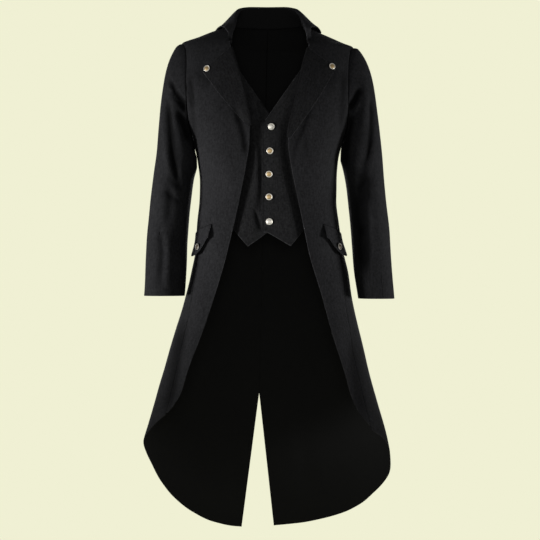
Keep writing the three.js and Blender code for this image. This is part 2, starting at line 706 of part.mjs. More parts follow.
const SNAP = { radius: 8.2, rim: 1.2, height: 3.0 };

// A domed cap with a rolled rim, turned about +Y and seated on a flat base.
function snapCap() {
  const { radius, rim, height } = SNAP;
  const profile = [
    [0, 0], [radius - 0.8, 0], [radius, rim * 0.5], [radius - 0.3, rim + 0.5],
    [radius - 1.5, rim + 0.9], [radius - 2.4, rim + 0.6], [radius * 0.4, height - 0.2], [0, height],
  ].map(([r, h]) => new THREE.Vector2(r, h));
  return new THREE.LatheGeometry(profile, 20);
}

function addSnap(name, angle, z, lift) {
  const mesh = addPiece(name, snapCap(), 'snap');
  const normal = bodyNormal(angle, z);
  mesh.position.copy(bodyPoint(angle, z)).addScaledVector(normal, lift + SEAM_GAP);
  mesh.quaternion.setFromUnitVectors(new THREE.Vector3(0, 1, 0), normal);
}

const WAISTCOAT_SNAPS = table(['x', 'z'], [
  [9.5, -242], [6, -301], [4, -358], [4, -412], [4.5, -472],
]);
const LAPEL_SNAP = { right: { x: 147.5, z: -98.5 }, left: { x: 157.5, z: -92.5 } };

function addSnaps() {
  WAISTCOAT_SNAPS.forEach(({ x, z }, i) => {
    addSnap(`waistcoat_snap_${i + 1}`, angleAt(x, z), z, WAISTCOAT_LIFT.middle + 0.3);
  });
  for (const [side, { sign }] of Object.entries(SIDES)) {
    const { x, z } = LAPEL_SNAP[side];
    addSnap(`lapel_snap_${side}`, angleAt(sign * x, z), z, LAPEL_REST.roll);
    const { angle, z: flapZ } = flapPlace(FLAP.snapShare, FLAP.snapDrop);
    addSnap(`flap_snap_${side}`, sign * angle, flapZ, flapLift(FLAP.snapShare, FLAP.snapDrop) + 2.0);
  }
}

// ---------------------------------------------------------------- the coat

for (const side of Object.keys(SIDES)) {
  const [outerSeam, innerSeam] = SLEEVE_SEAMS;
  addPiece(`front_${side}`, front(side), 'coat');
  addPiece(`back_${side}`, back(side), 'coat');
  addPiece(`top_sleeve_${side}`, sleeveHalf(side, outerSeam, innerSeam, 14), 'coat');
  addPiece(`under_sleeve_${side}`, sleeveHalf(side, innerSeam - 360, outerSeam, 14), 'coat');
  addPiece(`lapel_${side}`, lapel(side), 'lapel');
  addPiece(`flap_${side}`, flap(side), 'coat');
  addPiece(`waistcoat_${side}`, waistcoat(side), 'waistcoat');
}
addPiece('collar', collar(), 'coat');
addSnaps();

export default coat;
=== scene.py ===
"""Long tailcoat with a waistcoat front sewn inside it, shaped as it hangs on a wearer.

Each cloth piece is a thin closed shell worked out on a grid. Its outer face follows the body or the
sleeve that the solids follow, in millimetres, and becomes metres when it is put into the mesh.
Angles go round the body in degrees: 0 is the centre front, 90 the wearer's left side, 180 the back.
"""

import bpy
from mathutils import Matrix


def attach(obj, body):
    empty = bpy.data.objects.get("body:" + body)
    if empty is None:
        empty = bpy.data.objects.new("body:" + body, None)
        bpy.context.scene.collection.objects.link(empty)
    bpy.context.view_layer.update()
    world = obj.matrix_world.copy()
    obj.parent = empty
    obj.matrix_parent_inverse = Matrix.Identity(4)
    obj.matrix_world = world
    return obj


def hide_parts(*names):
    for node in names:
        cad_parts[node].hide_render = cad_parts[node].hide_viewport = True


bl_info = {
    "name": "Tailcoat",
    "version": (1, 0, 0),
    "blender": (4, 5, 0),
    "location": "3D View > Sidebar > Tailcoat",
    "description": "Builds the cloth, linings, seams and snaps of a long tailcoat round its solids",
    "category": "Add Mesh",
}

import bpy
import numpy as np
from bpy.props import FloatProperty, FloatVectorProperty, PointerProperty
from mathutils import Vector

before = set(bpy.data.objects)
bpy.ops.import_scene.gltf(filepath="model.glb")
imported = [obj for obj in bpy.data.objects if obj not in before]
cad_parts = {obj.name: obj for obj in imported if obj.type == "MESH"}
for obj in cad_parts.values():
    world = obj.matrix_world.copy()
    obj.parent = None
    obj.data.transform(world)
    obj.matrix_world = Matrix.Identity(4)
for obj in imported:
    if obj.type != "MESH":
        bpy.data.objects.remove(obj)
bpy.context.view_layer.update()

MM = 0.001

# ---------------------------------------------------------------- sizes of the coat, in millimetres

SEAM_LAP = 0.9        # how far the rounded edges of pieces sewn edge to edge press into each other
LAYER_GAP = 0.6       # between pieces that lie on each other
SNAP_GAP = 0.4        # under a snap's cap


def table(columns, rows):
    """A table as one array for each named column."""
    return dict(zip(columns.split(), np.array(rows, float).T))


# Horizontal rings of the body: half widths to the wearer's right and left, depths to the front and
# back, and how square the ring is.
BODY_RINGS = table("z right left front back square", [
    (-1290, 358, 346, 186, 216, 2.2),   # tail tips
    (-1090, 325, 315, 172, 197, 2.2),
    (-1015, 309, 300, 166, 188, 2.2),   # side corners of the skirt
    (-915, 280, 273, 157, 176, 2.2),
    (-790, 246, 240, 144, 156, 2.2),
    (-665, 207, 213, 131, 134, 2.2),    # thigh
    (-600, 191, 202, 124, 120, 2.2),
    (-540, 180, 188, 118, 106, 2.25),   # hip, at the flaps
    (-470, 176, 178, 113, 92, 2.3),
    (-415, 170, 171, 113, 86, 2.3),     # waist
    (-370, 169, 172, 118, 90, 2.3),
    (-320, 174, 176, 124, 97, 2.35),
    (-270, 186, 188, 126, 103, 2.5),    # under the arms
    (-230, 200, 201, 126, 106, 2.7),
    (-180, 211, 211, 123, 108, 2.8),    # chest and shoulder blades
    (-120, 218, 217, 113, 106, 2.7),
    (-70, 219, 218, 100, 99, 2.3),
    (-34, 217, 214, 84, 89, 1.9),       # left shoulder point
    (-24, 214, 190, 76, 84, 1.75),      # right shoulder point
    (-6, 166, 148, 58, 74, 1.6),
    (8, 129, 115, 42, 66, 1.6),
    (20, 97, 88, 24, 60, 1.6),          # neck seam
    (32, 66, 60, 12, 52, 1.7),
])
NECK_Z = 20

# Front edge of each front: distance from the midline at each height.
FRONT_EDGE = table("z right left", [
    (-978, 281, 258), (-946, 252, 232), (-921, 231, 216), (-886, 210, 202), (-850, 199, 193),
    (-750, 162, 160), (-650, 128, 132), (-555, 100, 103), (-500, 87, 91), (-420, 69, 75),
    (-335, 52, 57), (-281, 44, 50), (-245, 43, 54), (-186, 53, 68), (-145, 61, 77),
    (-95, 75, 87), (-68, 83, 94), (-36, 91, 101), (-5, 93, 98), (20, 92, 87),
])

# Hem of the tails, from the side seam round to the centre back.
HEM = table("angle right left", [
    (70, -940, -978), (80, -980, -1008), (90, -1018, -1048), (98, -1044, -1096),
    (106, -1081, -1130), (114, -1133, -1163), (122, -1179, -1196), (132, -1220, -1223),
    (144, -1250, -1242), (158, -1264, -1255), (188, -1270, -1266),
])

SIDES = {
    "right": {"sign": -1, "arm_top": -25, "arm_bottom": -270, "front_end": -938},
    "left": {"sign": 1, "arm_top": -35, "arm_bottom": -264, "front_end": -974},
}
ARMHOLE_SPAN = 17.5                     # degrees before and behind the side
SIDE_SEAM = {"low": 71, "low_z": -720}  # the seam swings forward below the hip
VENT = {"top_z": -906, "bottom_z": -1265, "x": -22, "right": -69, "left": 17}
HEM_TURN_Z = -880                       # below this height the back's rows bend down to the hem

# Rings of a sleeve from the armhole to the cuff, each hung between an outer and an inner point.
SLEEVE_RINGS = table(
    "outer_z inner_z outer_right outer_left inner_right inner_left middle_y front back", [
        (-30, -270, 214, 214, 187, 189, 1, 60, 60),
        (-33, -274, 225, 224, 185, 187, 1, 60.5, 66),
        (-60, -284, 243, 243, 181, 183, 1, 61, 71),
        (-98, -296, 255, 258, 180, 182, 1, 62, 73),
        (-150, -312, 264, 269, 175.5, 182, 0, 63.5, 73),
        (-215, -330, 270, 277, 175.5, 187, -1, 65, 71),
        (-285, -360, 276, 284, 183, 194, -2, 65, 68),
        (-350, -402, 284, 291, 189, 200, -4, 62, 65),
        (-420, -450, 292, 297, 194, 204, -8, 59, 62),
        (-500, -512, 299, 304, 198, 209, -14, 56, 58),
        (-580, -584, 303, 309, 201, 215, -20, 53, 54),
        (-654, -654, 307, 314, 205, 224, -25, 51, 51),
    ])
STATIONS = len(SLEEVE_RINGS["outer_z"]) - 1
CUFF_DROP = {"right": 0, "left": -7}
SLEEVE_SQUARE = 2.15
SLEEVE_SEAMS = (110, 290)               # degrees round the sleeve: outer and inner seams
SLEEVE_CLEAR = 1.6
SLEEVE_RADIUS = 50                      # about, where a seam's lap is turned into degrees
# Stations over which the sleeve leaves the armhole's edge, its folds and ripple rise, and its gap
# to the body opens; softness is how gently it clears the body, at the head and below it.
SLEEVE_EASE = {"edge": 2.4, "folds": 0.6, "ripple": 1.5, "hang_from": 3.2, "hang_run": 1.6}
SLEEVE_SOFTNESS = {"head": 0.2, "below": 3, "run": 0.8}
FACINGS = {"front": 60, "waistcoat": 30}    # width of outer cloth inside a front edge

LAPELS = {
    "right": {"break_z": -247, "top_z": -44, "corner_x": 160, "corner_z": -103},
    "left": {"break_z": -279, "top_z": -46, "corner_x": 168, "corner_z": -97},
}
LAPEL_BOW = 5
ROLL = {"radius": 4.4, "centre": -1.0}
LAPEL_REST = {"roll": 3.4, "edge": 2.9}

# The collar's sections, from the centre back (0) to the front end (1).
COLLAR = table(
    "along roll_right roll_left roll_y roll_z edge_right edge_left edge_y edge_z bend bend_z", [
        (0.00, 0, 0, 68, 78, 0, 0, 82, 12, 0.75, 50),
        (0.22, 42, 42, 59, 77, 54, 54, 78, 8, 0.7, 48),
        (0.42, 73, 73, 37, 69, 116, 118, 51, 2, 0.45, 55),
        (0.54, 77, 83, 16, 55, 134, 136, 20, 6, 0.5, 36),
        (0.66, 79, 91, -8, 34, 121, 124, -10, 17, 0.5, 28),
        (0.76, 83, 97, -36, 10, 111, 112, -32, 15, 0.55, 14),   # the front corner
        (0.82, 87, 99, -51, -2, 101, 107, -50, 4, 0.6, 2),
        (0.89, 89, 100, -66, -13, 96, 107, -65, -8, 0.6, -11),
        (1.00, 90, 101, -81, -29, 96, 107, -80, -28, 0.6, -29),
    ])
COLLAR_ENDS = {"side_share": 0.62, "front_z": -34}
COLLAR_ROLL = {"back": 6, "front": 4.4}
COLLAR_SHADE = {"from": 0.88, "depth": 7}   # painted shade on its front ends, beside the lapels
COLLAR_FOOT = -0.4      # the foot presses into the cloth at the neck seam

WAISTCOAT = {
    "seam_inset": 40, "lap_edge_x": -13, "under_edge_x": 22, "neck_z": -226, "notch_z": -498,
    "neck_slope": 0.69, "top_z": -62, "level_z": -440, "point_share": 0.55,
    "neck_shift_right": -4, "neck_shift_left": 7, "kink_right": 49, "kink_left": 0,
}
WAISTCOAT_POINT = {
    "right": {"x": 49, "z": -532, "hem_slope": 1.1},
    "left": {"x": 58, "z": -531, "hem_slope": 1.15},
}
WAISTCOAT_LIFT = {
    "seam": -3.4, "middle": -9.5, "rise_from": 0.45,    # share of the row where it starts to rise
    "lap": 2.8, "lap_x": 38, "lap_run": 16,             # the right front sinks under the left one
}
# The hollow beside the coat's front edge, which also darkens the cloth as painted shade at half
# its depth, and painted shade along the lap's edge, which does not move the cloth.
WAISTCOAT_SINK = {"depth": 5.5, "width": 15, "shallow_z": -130, "shallow_run": 130}
LAP_SHADE = {"depth": 6, "width": 3.5}

FLAP = {
    "front_angle": 59.5, "back_angle": 88.6, "front_z": -477, "back_z": -501,
    "end_drop": 35, "point_drop": 67.5, "shoulder": 0.86, "flare": 12.5,
    "snap_drop": 47, "snap_share": 0.4,
}
FLAP_CURL = {"lift": 6.0, "share": 0.22, "drop": 26}    # of its front edge, off the coat
FLAP_SEAM_SHADE = {"depth": 6, "width": 2.2}                  # painted shade along its top edge

SNAP = {"radius": 8.2, "height": 3.0}
WAISTCOAT_SNAPS = ((9.5, -242), (6, -301), (4, -358), (4, -412), (4.5, -472))
HIGHLIGHT_SNAPS = (1, 5)    # numbers of the waistcoat snaps made near-white all over, as a painted highlight
LAPEL_SNAPS = {"right": (147.5, -98.5), "left": (157.5, -92.5)}
FLAP_SNAP_LIFT = 1.8

# ---------------------------------------------------------------- folds of the cloth

# Each fold is a line of points, seen from the front or back as distances from the midline and
# heights, with its height in millimetres (below zero for a trough) and its width to each side.
BODY_FOLDS = {
    ("right", "front"): [
        ([(84, -176), (70, -215), (57, -262), (49, -336)], -4.4, 9),    # beside the lapel's break
        ([(140, -120), (120, -205), (104, -290), (92, -370), (88, -430)], 2.6, 22),
        ([(200, -60), (191, -130), (184, -210), (180, -296), (176, -350)], -3.2, 11),  # at the armhole
        ([(204, -122), (194, -160), (187, -200)], -1.5, 4),
        ([(195, -112), (184, -156), (181, -190)], -1.3, 4),
        ([(180, -84), (150, -122), (116, -140)], -2.6, 24),             # under the shoulder
        ([(166, -172), (142, -225), (130, -290), (126, -372)], 3.4, 28),    # full of the chest
        ([(168, -330), (150, -400), (154, -450)], -0.9, 14),
        ([(150, -560), (166, -700), (192, -850)], 1.4, 20),
        ([(130, -600), (160, -760), (196, -890)], -1.2, 14),
        ([(196, -680), (222, -790), (238, -890), (268, -980)], -4.6, 19),
    ],
    ("left", "front"): [
        ([(106, -176), (90, -232), (72, -278), (58, -344)], -2.8, 9),
        ([(98, -244), (93, -285), (92, -332)], -2.2, 9),
        ([(196, -70), (188, -140), (182, -214), (179, -280)], -3.4, 11),
        ([(180, -88), (152, -126), (120, -146)], -2.6, 24),
        ([(168, -186), (146, -235), (132, -300), (128, -384)], 2.6, 28),
        ([(168, -330), (152, -410), (156, -455)], -0.9, 14),
        ([(152, -560), (170, -700), (196, -860)], 1.4, 20),
        ([(136, -590), (160, -740), (190, -880)], -1.2, 13),
        ([(196, -720), (212, -800), (224, -890), (246, -990)], -3.8, 22),
    ],
    ("right", "back"): [
        ([(190, -96), (166, -170), (140, -230)], -2.4, 16),
        ([(150, -330), (110, -400), (96, -470)], -1.6, 16),
        ([(60, -430), (84, -640), (110, -900)], 2.6, 34),
        ([(110, -470), (140, -700), (176, -960)], -3.0, 26),
        ([(150, -560), (196, -780), (238, -1020)], 2.6, 30),
        ([(56, -900), (84, -1060), (104, -1240)], -2.8, 24),
    ],
    ("left", "back"): [
        ([(188, -104), (160, -180), (134, -244)], -2.4, 16),
        ([(146, -320), (112, -398), (100, -480)], -1.6, 15),
        ([(50, -440), (70, -640), (92, -900)], 2.4, 32),
        ([(104, -480), (132, -700), (162, -960)], -3.0, 27),
        ([(148, -560), (190, -780), (230, -1030)], 2.6, 30),
        ([(64, -910), (96, -1060), (120, -1230)], -2.6, 24),
    ],
}
SLEEVE_FOLDS = {
    ("right", "front"): [
        ([(249, -108), (226, -152), (205, -177), (194, -202)], -5.4, 6.5),  # drags to the armpit
        ([(252, -124), (231, -159), (208, -184)], 3.0, 5),
        ([(247, -134), (229, -162), (208, -187), (194, -208)], -5.4, 6),
        ([(224, -184), (203, -233), (184, -286)], -6.0, 10),            # hollow in front of the armpit
        ([(252, -140), (246, -198), (239, -252), (232, -312), (220, -368), (202, -408)], -7.0, 9),
        ([(264, -160), (258, -230), (250, -300), (240, -370)], 2.6, 7),
        ([(230, -226), (222, -290), (212, -350)], -1.6, 8),
        ([(243, -366), (240, -420), (244, -490)], -3.0, 12),
        ([(272, -456), (257, -544), (264, -646)], -2.8, 9),             # creases of the forearm
        ([(246, -480), (242, -560), (246, -650)], 2.8, 11),
        ([(250, -352), (226, -380), (206, -398)], -2.2, 8),             # inner elbow
        ([(258, -388), (232, -412), (204, -426)], -2.0, 8),
    ],
    ("right", "back"): [
        ([(252, -112), (228, -164), (206, -230)], -4.6, 12),
        ([(258, -150), (236, -200), (214, -262)], 2.4, 10),
        ([(262, -290), (246, -370), (232, -460)], -4.4, 13),
        ([(270, -350), (246, -384), (222, -404)], 2.4, 9),              # elbow
        ([(276, -382), (250, -412), (224, -430)], -2.8, 8),
        ([(268, -480), (256, -560), (258, -640)], 2.6, 15),
    ],
    ("left", "front"): [
        ([(233, -132), (212, -176), (199, -204)], -7.0, 8.5),
        ([(230, -170), (212, -200), (202, -216)], 1.8, 5),
        ([(224, -192), (204, -220), (195, -248), (188, -300), (190, -360)], -7.0, 11),
        ([(240, -104), (245, -164), (238, -208), (229, -262)], 2.8, 9),
        ([(253, -140), (261, -206), (258, -242), (249, -305), (238, -350)], -6.0, 9),
        ([(252, -290), (239, -361), (231, -430), (236, -520), (241, -640)], -7.5, 21),
        ([(269, -180), (264, -260), (256, -320), (246, -386)], 2.2, 7),
        ([(228, -270), (224, -310), (218, -350)], 2.2, 10),
        ([(260, -400), (264, -500), (266, -640)], 2.0, 12),             # crease down the forearm
        ([(254, -360), (234, -384), (216, -400)], -2.0, 8),
        ([(258, -396), (238, -416), (218, -428)], -1.8, 8),
    ],
    ("left", "back"): [
        ([(250, -106), (230, -156), (209, -215)], -4.6, 12),
        ([(258, -146), (240, -196), (220, -250)], 2.4, 10),
        ([(268, -310), (252, -390), (240, -470)], -4.4, 13),
        ([(276, -350), (252, -382), (228, -402)], 2.4, 9),
        ([(280, -386), (256, -414), (230, -432)], -2.8, 8),
        ([(274, -480), (264, -560), (266, -640)], 2.6, 15),
    ],
}
WAISTCOAT_FOLDS = [
    ([(36, -436), (22, -474), (10, -500)], -3.0, 5),
    ([(29, -262), (27, -350), (27, -440)], 2.4, 6),
    ([(16, -250), (16, -350), (16, -470)], -2.2, 6),
]
FOLD_FADE = 35        # depth over which a fold dies away towards the outline
FOLD_EASE = 0.3       # share of a fold's line over which it rises, and over which it sinks again
SEAM_DIP = {"depth": 0.8, "width": 2.6}

# ---------------------------------------------------------------- arithmetic on whole arrays


def smooth(t):
    """Eases from 0 to 1: 3t^2 - 2t^3, held outside that range."""
    t = np.clip(t, 0, 1)
    return t * t * (3 - 2 * t)


def mix(a, b, share):
    """Straight line from a to b."""
    return a + (b - a) * share


def spaced(count, start=0.0, end=1.0, crowd=0.5):
    """count + 1 values from start to end: an even run mixed with a cosine that crowds both ends."""
    t = np.linspace(0, 1, count + 1)
    return mix(start, end, (1 - crowd) * t + crowd * (1 - np.cos(np.pi * t)) / 2)


def unit(vectors):
    """Each vector divided by its length."""
    return vectors / np.maximum(np.linalg.norm(vectors, axis=-1, keepdims=True), 1e-9)


def curve(x, y):
    """Smooth curve through points: a cubic between neighbours, whose slope at a point is the
    harmonic mean of the rises beside it, or level where they turn."""
    order = np.argsort(x)
    x, y = x[order], y[order]
    rise = np.diff(y) / np.diff(x)
    before, after = np.append(rise[:1], rise), np.append(rise, rise[-1:])
    product = before * after
    slope = np.where(product > 0, 2 * product / np.where(product > 0, before + after, 1), 0)

    def value(at):
        at = np.clip(at, x[0], x[-1])
        i = np.clip(np.searchsorted(x, at) - 1, 0, len(x) - 2)
        h = x[i + 1] - x[i]
        t = (at - x[i]) / h
        return (y[i] * (1 + 2 * t) * (1 - t) ** 2 + slope[i] * h * t * (1 - t) ** 2
                + y[i + 1] * t * t * (3 - 2 * t) - slope[i + 1] * h * t * t * (1 - t))

    return value


def curves(rows, key):
    """A smooth curve over the key column for each other column."""
    return {name: curve(rows[key], column) for name, column in rows.items() if name != key}


ring = curves(BODY_RINGS, "z")
front_edge_x = curves(FRONT_EDGE, "z")
hem_z = curves(HEM, "angle")
sleeve = curves({**SLEEVE_RINGS, "station": np.arange(STATIONS + 1.0)}, "station")
collar_at = curves(COLLAR, "along")


def fold_height(x, z, folds):
    """Sum over the folds of height * rise * exp(-(distance / width)^2), with the distance to the
    nearest stretch of the fold's line, and a rise that eases in and out at the line's ends."""
    total = np.zeros(np.broadcast(x, z).shape)
    for line, height, width in folds:
        line = np.array(line, float)
        runs = np.diff(line, axis=0)
        lengths = np.hypot(*runs.T)
        nearest = np.full(total.shape, np.inf)
        share = np.zeros(total.shape)
        for start, run, length, before in zip(line, runs, lengths, np.cumsum(lengths) - lengths):
            along = np.clip(((x - start[0]) * run[0] + (z - start[1]) * run[1]) / length ** 2, 0, 1)
            away = np.hypot(x - start[0] - run[0] * along, z - start[1] - run[1] * along)
            closer = away < nearest
            share = np.where(closer, (before + along * length) / lengths.sum(), share)
            nearest = np.minimum(nearest, away)
        rise = smooth(share / FOLD_EASE) * smooth((1 - share) / FOLD_EASE)
        total += height * rise * np.exp(-((nearest / width) ** 2))
    return total


RIPPLE_WAVES = 16
_draw = np.random.default_rng(19)
_facing = unit(_draw.normal(size=(RIPPLE_WAVES, 3)) * (1, 1, 0.35))
_lengths = _draw.uniform(60, 190, RIPPLE_WAVES)
_phases = _draw.uniform(0, 2 * np.pi, RIPPLE_WAVES)


def ripple(points, height):
    """Soft unevenness of hanging cloth: a sum of sine waves through space, 60 to 190 mm long and
    mostly running across, each as high as it is long, scaled so that their usual sum is height."""
    phase = points @ (2 * np.pi * _facing / _lengths[:, None]).T + _phases
    waves = np.sin(phase) * _lengths / _lengths.mean()
    return height * waves.sum(axis=-1) / np.sqrt(RIPPLE_WAVES / 2)


# ---------------------------------------------------------------- the body surface


def body_point(angle, z):
    """Point of the ring at z: radius = (|sin/width|^n + |cos/depth|^n)^(-1/n), with the width and
    depth of the side and face it is on, and n how square the ring is."""
    s, c = np.sin(np.radians(angle)), np.cos(np.radians(angle))
    width = np.where(s >= 0, ring["left"](z), ring["right"](z))
    depth = np.where(c >= 0, ring["front"](z), ring["back"](z))
    power = ring["square"](z)
    radius = (np.abs(s / width) ** power + np.abs(c / depth) ** power) ** (-1 / power)
    return np.stack(np.broadcast_arrays(radius * s, -radius * c, z), axis=-1)


def body_normal(angle, z):
    """Outward direction: the slope round the ring crossed with the slope up it."""
    angle_step, z_step = 1.5, 3
    around = body_point(angle + angle_step, z) - body_point(angle - angle_step, z)
    up = body_point(angle, z + z_step) - body_point(angle, z - z_step)
    return unit(np.cross(around, up))


def body_folds(points):
    """Height of the body's folds at points of it, dying away towards its outline."""
    x, y, z = np.abs(points[..., 0]), points[..., 1], points[..., 2]
    right, front = points[..., 0] < 0, y < 0
    folds = np.zeros(x.shape)
    for (side, face), lines in BODY_FOLDS.items():
        here = (right == (side == "right")) & (front == (face == "front"))
        folds[here] = fold_height(x[here], z[here], lines)
    return folds * smooth(np.abs(y) / FOLD_FADE)


def body_relief(points):
    """Folds and ripple of the coat at points of the body, so that layers on each other agree."""
    return body_folds(points) + ripple(points, sizes().ripple / MM)


def lifted(angle, z, lift):
    """Point of the coat's face, moved outwards by lift."""
    angle, z = np.broadcast_arrays(angle, z)
    points = body_point(angle, z)
    return points + body_normal(angle, z) * (lift + body_relief(points))[..., None]


def angle_at(x, z):
    """Angle at which the front of the ring at z lies x to the side, from the ring's equation."""
    width = np.where(x >= 0, ring["left"](z), ring["right"](z))
    power = ring["square"](z)
    depth = ring["front"](z) * np.maximum(1 - np.abs(x / width) ** power, 0) ** (1 / power)
    return np.degrees(np.arctan2(x, depth))


def back_angle_at(x, z):
    """The same for the back of the ring: from 90 to 270 degrees."""
    width = np.where(x >= 0, ring["left"](z), ring["right"](z))
    power = ring["square"](z)
    depth = ring["back"](z) * np.maximum(1 - np.abs(x / width) ** power, 0) ** (1 / power)
    return 180 - np.degrees(np.arctan2(x, depth))


def gap_angle(angle, z, gap):
    """Degrees that a gap of so many millimetres takes on the ring at z."""
    arc = np.linalg.norm(body_point(angle + 1, z) - body_point(angle - 1, z), axis=-1)
    return 2 * gap / arc


def side_seam(side, z):
    """Unsigned angle of the side seam: 90 at the armhole, easing forward to its low angle."""
    top = SIDES[side]["arm_bottom"]
    return mix(90, SIDE_SEAM["low"], smooth((top - z) / (top - SIDE_SEAM["low_z"])))


def side_angle(side, z, face):
    """Where a front or back ends at the side: side seam, armhole (a half oval) or shoulder seam."""
    top, bottom = SIDES[side]["arm_top"], SIDES[side]["arm_bottom"]
    half = (top - bottom) / 2
    height = np.clip((z - bottom - half) / half, -1, 1)
    toward = -1 if face == "front" else 1
    armhole = 90 + toward * ARMHOLE_SPAN * np.sqrt(1 - height ** 2)
    return np.where(z <= bottom, side_seam(side, z), armhole)


def front_angle(side, z):
    """Unsigned angle of the front edge."""
    return np.abs(angle_at(SIDES[side]["sign"] * front_edge_x[side](z), z))


def centre_back_angle(side, z):
    """Unsigned angle of the centre back seam, which slants to the vent, and of the vent's edge."""
    seam = VENT["x"] * (NECK_Z - z) / (NECK_Z - VENT["top_z"])
    vent = mix(VENT["x"], VENT[side], (VENT["top_z"] - z) / (VENT["top_z"] - VENT["bottom_z"]))
    angle = back_angle_at(np.where(z >= VENT["top_z"], seam, vent), z)
    return angle if side == "left" else 360 - angle


# ---------------------------------------------------------------- shells of cloth


def distances(points):
    """Distance of each grid point from each of the grid's four sides, along the row or column."""
    across = np.linalg.norm(np.diff(points, axis=1), axis=-1)
    upward = np.linalg.norm(np.diff(points, axis=0), axis=-1)
    from_first = np.pad(np.cumsum(across, axis=1), ((0, 0), (1, 0)))
    from_low = np.pad(np.cumsum(upward, axis=0), ((1, 0), (0, 0)))
    return {
        "first_column": from_first, "last_column": from_first[:, -1:] - from_first,
        "first_row": from_low, "last_row": from_low[-1:] - from_low,
    }


def nearest(away, names):
    """The smallest of the named distances, or a metre where none is named."""
    far = [np.full_like(away["first_row"], 1 / MM)]
    return np.minimum.reduce([away[name] for name in names] or far)


def seam_dip(points, sewn):
    """Lift beside a sewn edge: -depth * exp(-(distance / width)^2)."""
    away = nearest(distances(points), sewn)
    return -SEAM_DIP["depth"] * np.exp(-((away / SEAM_DIP["width"]) ** 2))


def rim_of(grid):
    """The grid's outline as one closed loop, of points or of numbers."""
    return np.concatenate([grid[0, :-1], grid[:-1, -1], grid[-1, :0:-1], grid[:0:-1, 0]])


def outward(grid):
    """Direction out of the grid at its outline, within its surface."""
    columns = grid.copy()
    columns[:, 0], columns[:, -1] = grid[:, 1], grid[:, -2]
    rows = grid.copy()
    rows[0], rows[-1] = grid[1], grid[-2]
    return unit(unit(grid - columns) + unit(grid - rows))


def quads(grid):
    """Four-sided faces between the neighbours of a grid of point numbers."""
    corners = [grid[:-1, :-1], grid[:-1, 1:], grid[1:, 1:], grid[1:, :-1]]
    return np.stack(corners, -1).reshape(-1, 4)


RIM_STEPS = 4


def shell(name, outer, inner, sewn=(), free=(), facing=0.0, lined_columns=0, materials=(), hollow=0,
          seams=None):
    """Closed shell between two grids. Its rim is a half round from the outer to the inner face:
    middle + half thickness * (cos(turn) * across the cloth + sin(turn) * out of its edge).
    materials are the outer cloth's and the lining's; the inner face has the outer cloth within
    facing of its first column, and the outer face is lined on its first lined_columns. The depth
    given for painted shade, mostly that of the folds' troughs, darkens the cloth's colour, and
    seams are the sewn edges that show as a line, all of them if it is left out."""
    rows, columns = outer.shape[:2]
    away = distances(outer)
    half = np.linalg.norm(outer - inner, axis=-1, keepdims=True) / 2
    out = outward(outer)
    edge = np.zeros(outer.shape[:2] + (1,))
    edge[[0, -1]] = edge[:, [0, -1]] = 1
    outer, inner = outer - out * half * edge, inner - out * half * edge
    number = np.arange(rows * columns).reshape(rows, columns)
    middle, across = rim_of((outer + inner) / 2), rim_of((outer - inner) / 2)
    reach = rim_of(out) * rim_of(half)
    turns = np.linspace(0, np.pi, RIM_STEPS + 1)[1:-1, None, None]
    rim = middle + np.cos(turns) * across + np.sin(turns) * reach
    points = np.concatenate([outer.reshape(-1, 3), inner.reshape(-1, 3), rim.reshape(-1, 3)])
    loop = len(middle)
    first = 2 * rows * columns
    bands = np.vstack([
        rim_of(number), first + np.arange((RIM_STEPS - 1) * loop).reshape(-1, loop),
        rim_of(number) + rows * columns,
    ])

    ring_bands = np.column_stack([bands, bands[:, :1]])
    faces = np.concatenate([
        quads(number), quads(number + rows * columns)[:, ::-1], quads(ring_bands)[:, ::-1],
    ])
    faces = facing_out(points, faces)
    lined = np.zeros((rows - 1, columns - 1), int)
    lined[:, :lined_columns] = 1
    deep = away["first_column"][:-1, :-1] >= facing
    seamed = rim_of(nearest(away, sewn)) < 0.01
    seamed[-(rows - 1):] |= lined_columns > 0
    under_rim = np.arange(RIM_STEPS)[:, None] >= RIM_STEPS // 2
    lined = np.concatenate([lined.ravel(), deep.ravel(), (under_rim & seamed).ravel()])

    def for_all(values):
        flat = values.reshape(rows * columns, -1)
        around = flat[np.tile(rim_of(number), RIM_STEPS - 1)]
        return np.concatenate([flat, flat, around])

    u = away["first_column"] - away["first_column"][:, columns // 2][:, None]
    v = np.broadcast_to(away["first_row"][:, columns // 2][:, None], u.shape)
    piece = new_piece(name, points, faces, materials, lined)
    add_uv(piece, for_all(np.stack([u, v], -1)), faces)
    add_layer(piece, "free_edge", for_all(nearest(away, free)))
    add_layer(piece, "seam", for_all(nearest(away, sewn if seams is None else seams)))
    # depth for painted shade, which darkens the cloth's colour in the material
    add_layer(piece, "hollow", for_all(np.maximum(hollow, 0) * np.ones((rows, columns))))
    return piece


def facing_out(points, faces):
    """The faces, turned round if the volume they enclose comes out negative."""
    corners = points[faces]
    a, b, c = corners[:, 0], corners[:, 1], corners[:, 2]
    volume = (a * np.cross(b, c)).sum()
    if faces.shape[1] == 4:
        volume += (a * np.cross(c, corners[:, 3])).sum()
    return faces if volume > 0 else faces[:, ::-1]


def new_piece(name, points, faces, materials, material_index=None):
    """A smooth mesh object from points in millimetres."""
    mesh = bpy.data.meshes.new(name)
    faces = faces.tolist() if hasattr(faces, "tolist") else faces
    mesh.from_pydata((points * MM).tolist(), [], faces)
    for material in materials:
        mesh.materials.append(material)
    if material_index is not None:
        mesh.polygons.foreach_set("material_index", material_index.astype(np.int32))
    mesh.shade_smooth()
    mesh.validate()
    piece = bpy.data.objects.new(name, mesh)
    bpy.context.scene.collection.objects.link(piece)
    return piece


def add_uv(piece, uv, faces):
    """The piece's own map, in metres of cloth: u along a row from its middle, v up the piece."""
    layer = piece.data.uv_layers.new(name="cloth")
    layer.data.foreach_set("uv", (uv[np.asarray(faces).ravel()] * MM).astype(np.float32).ravel())


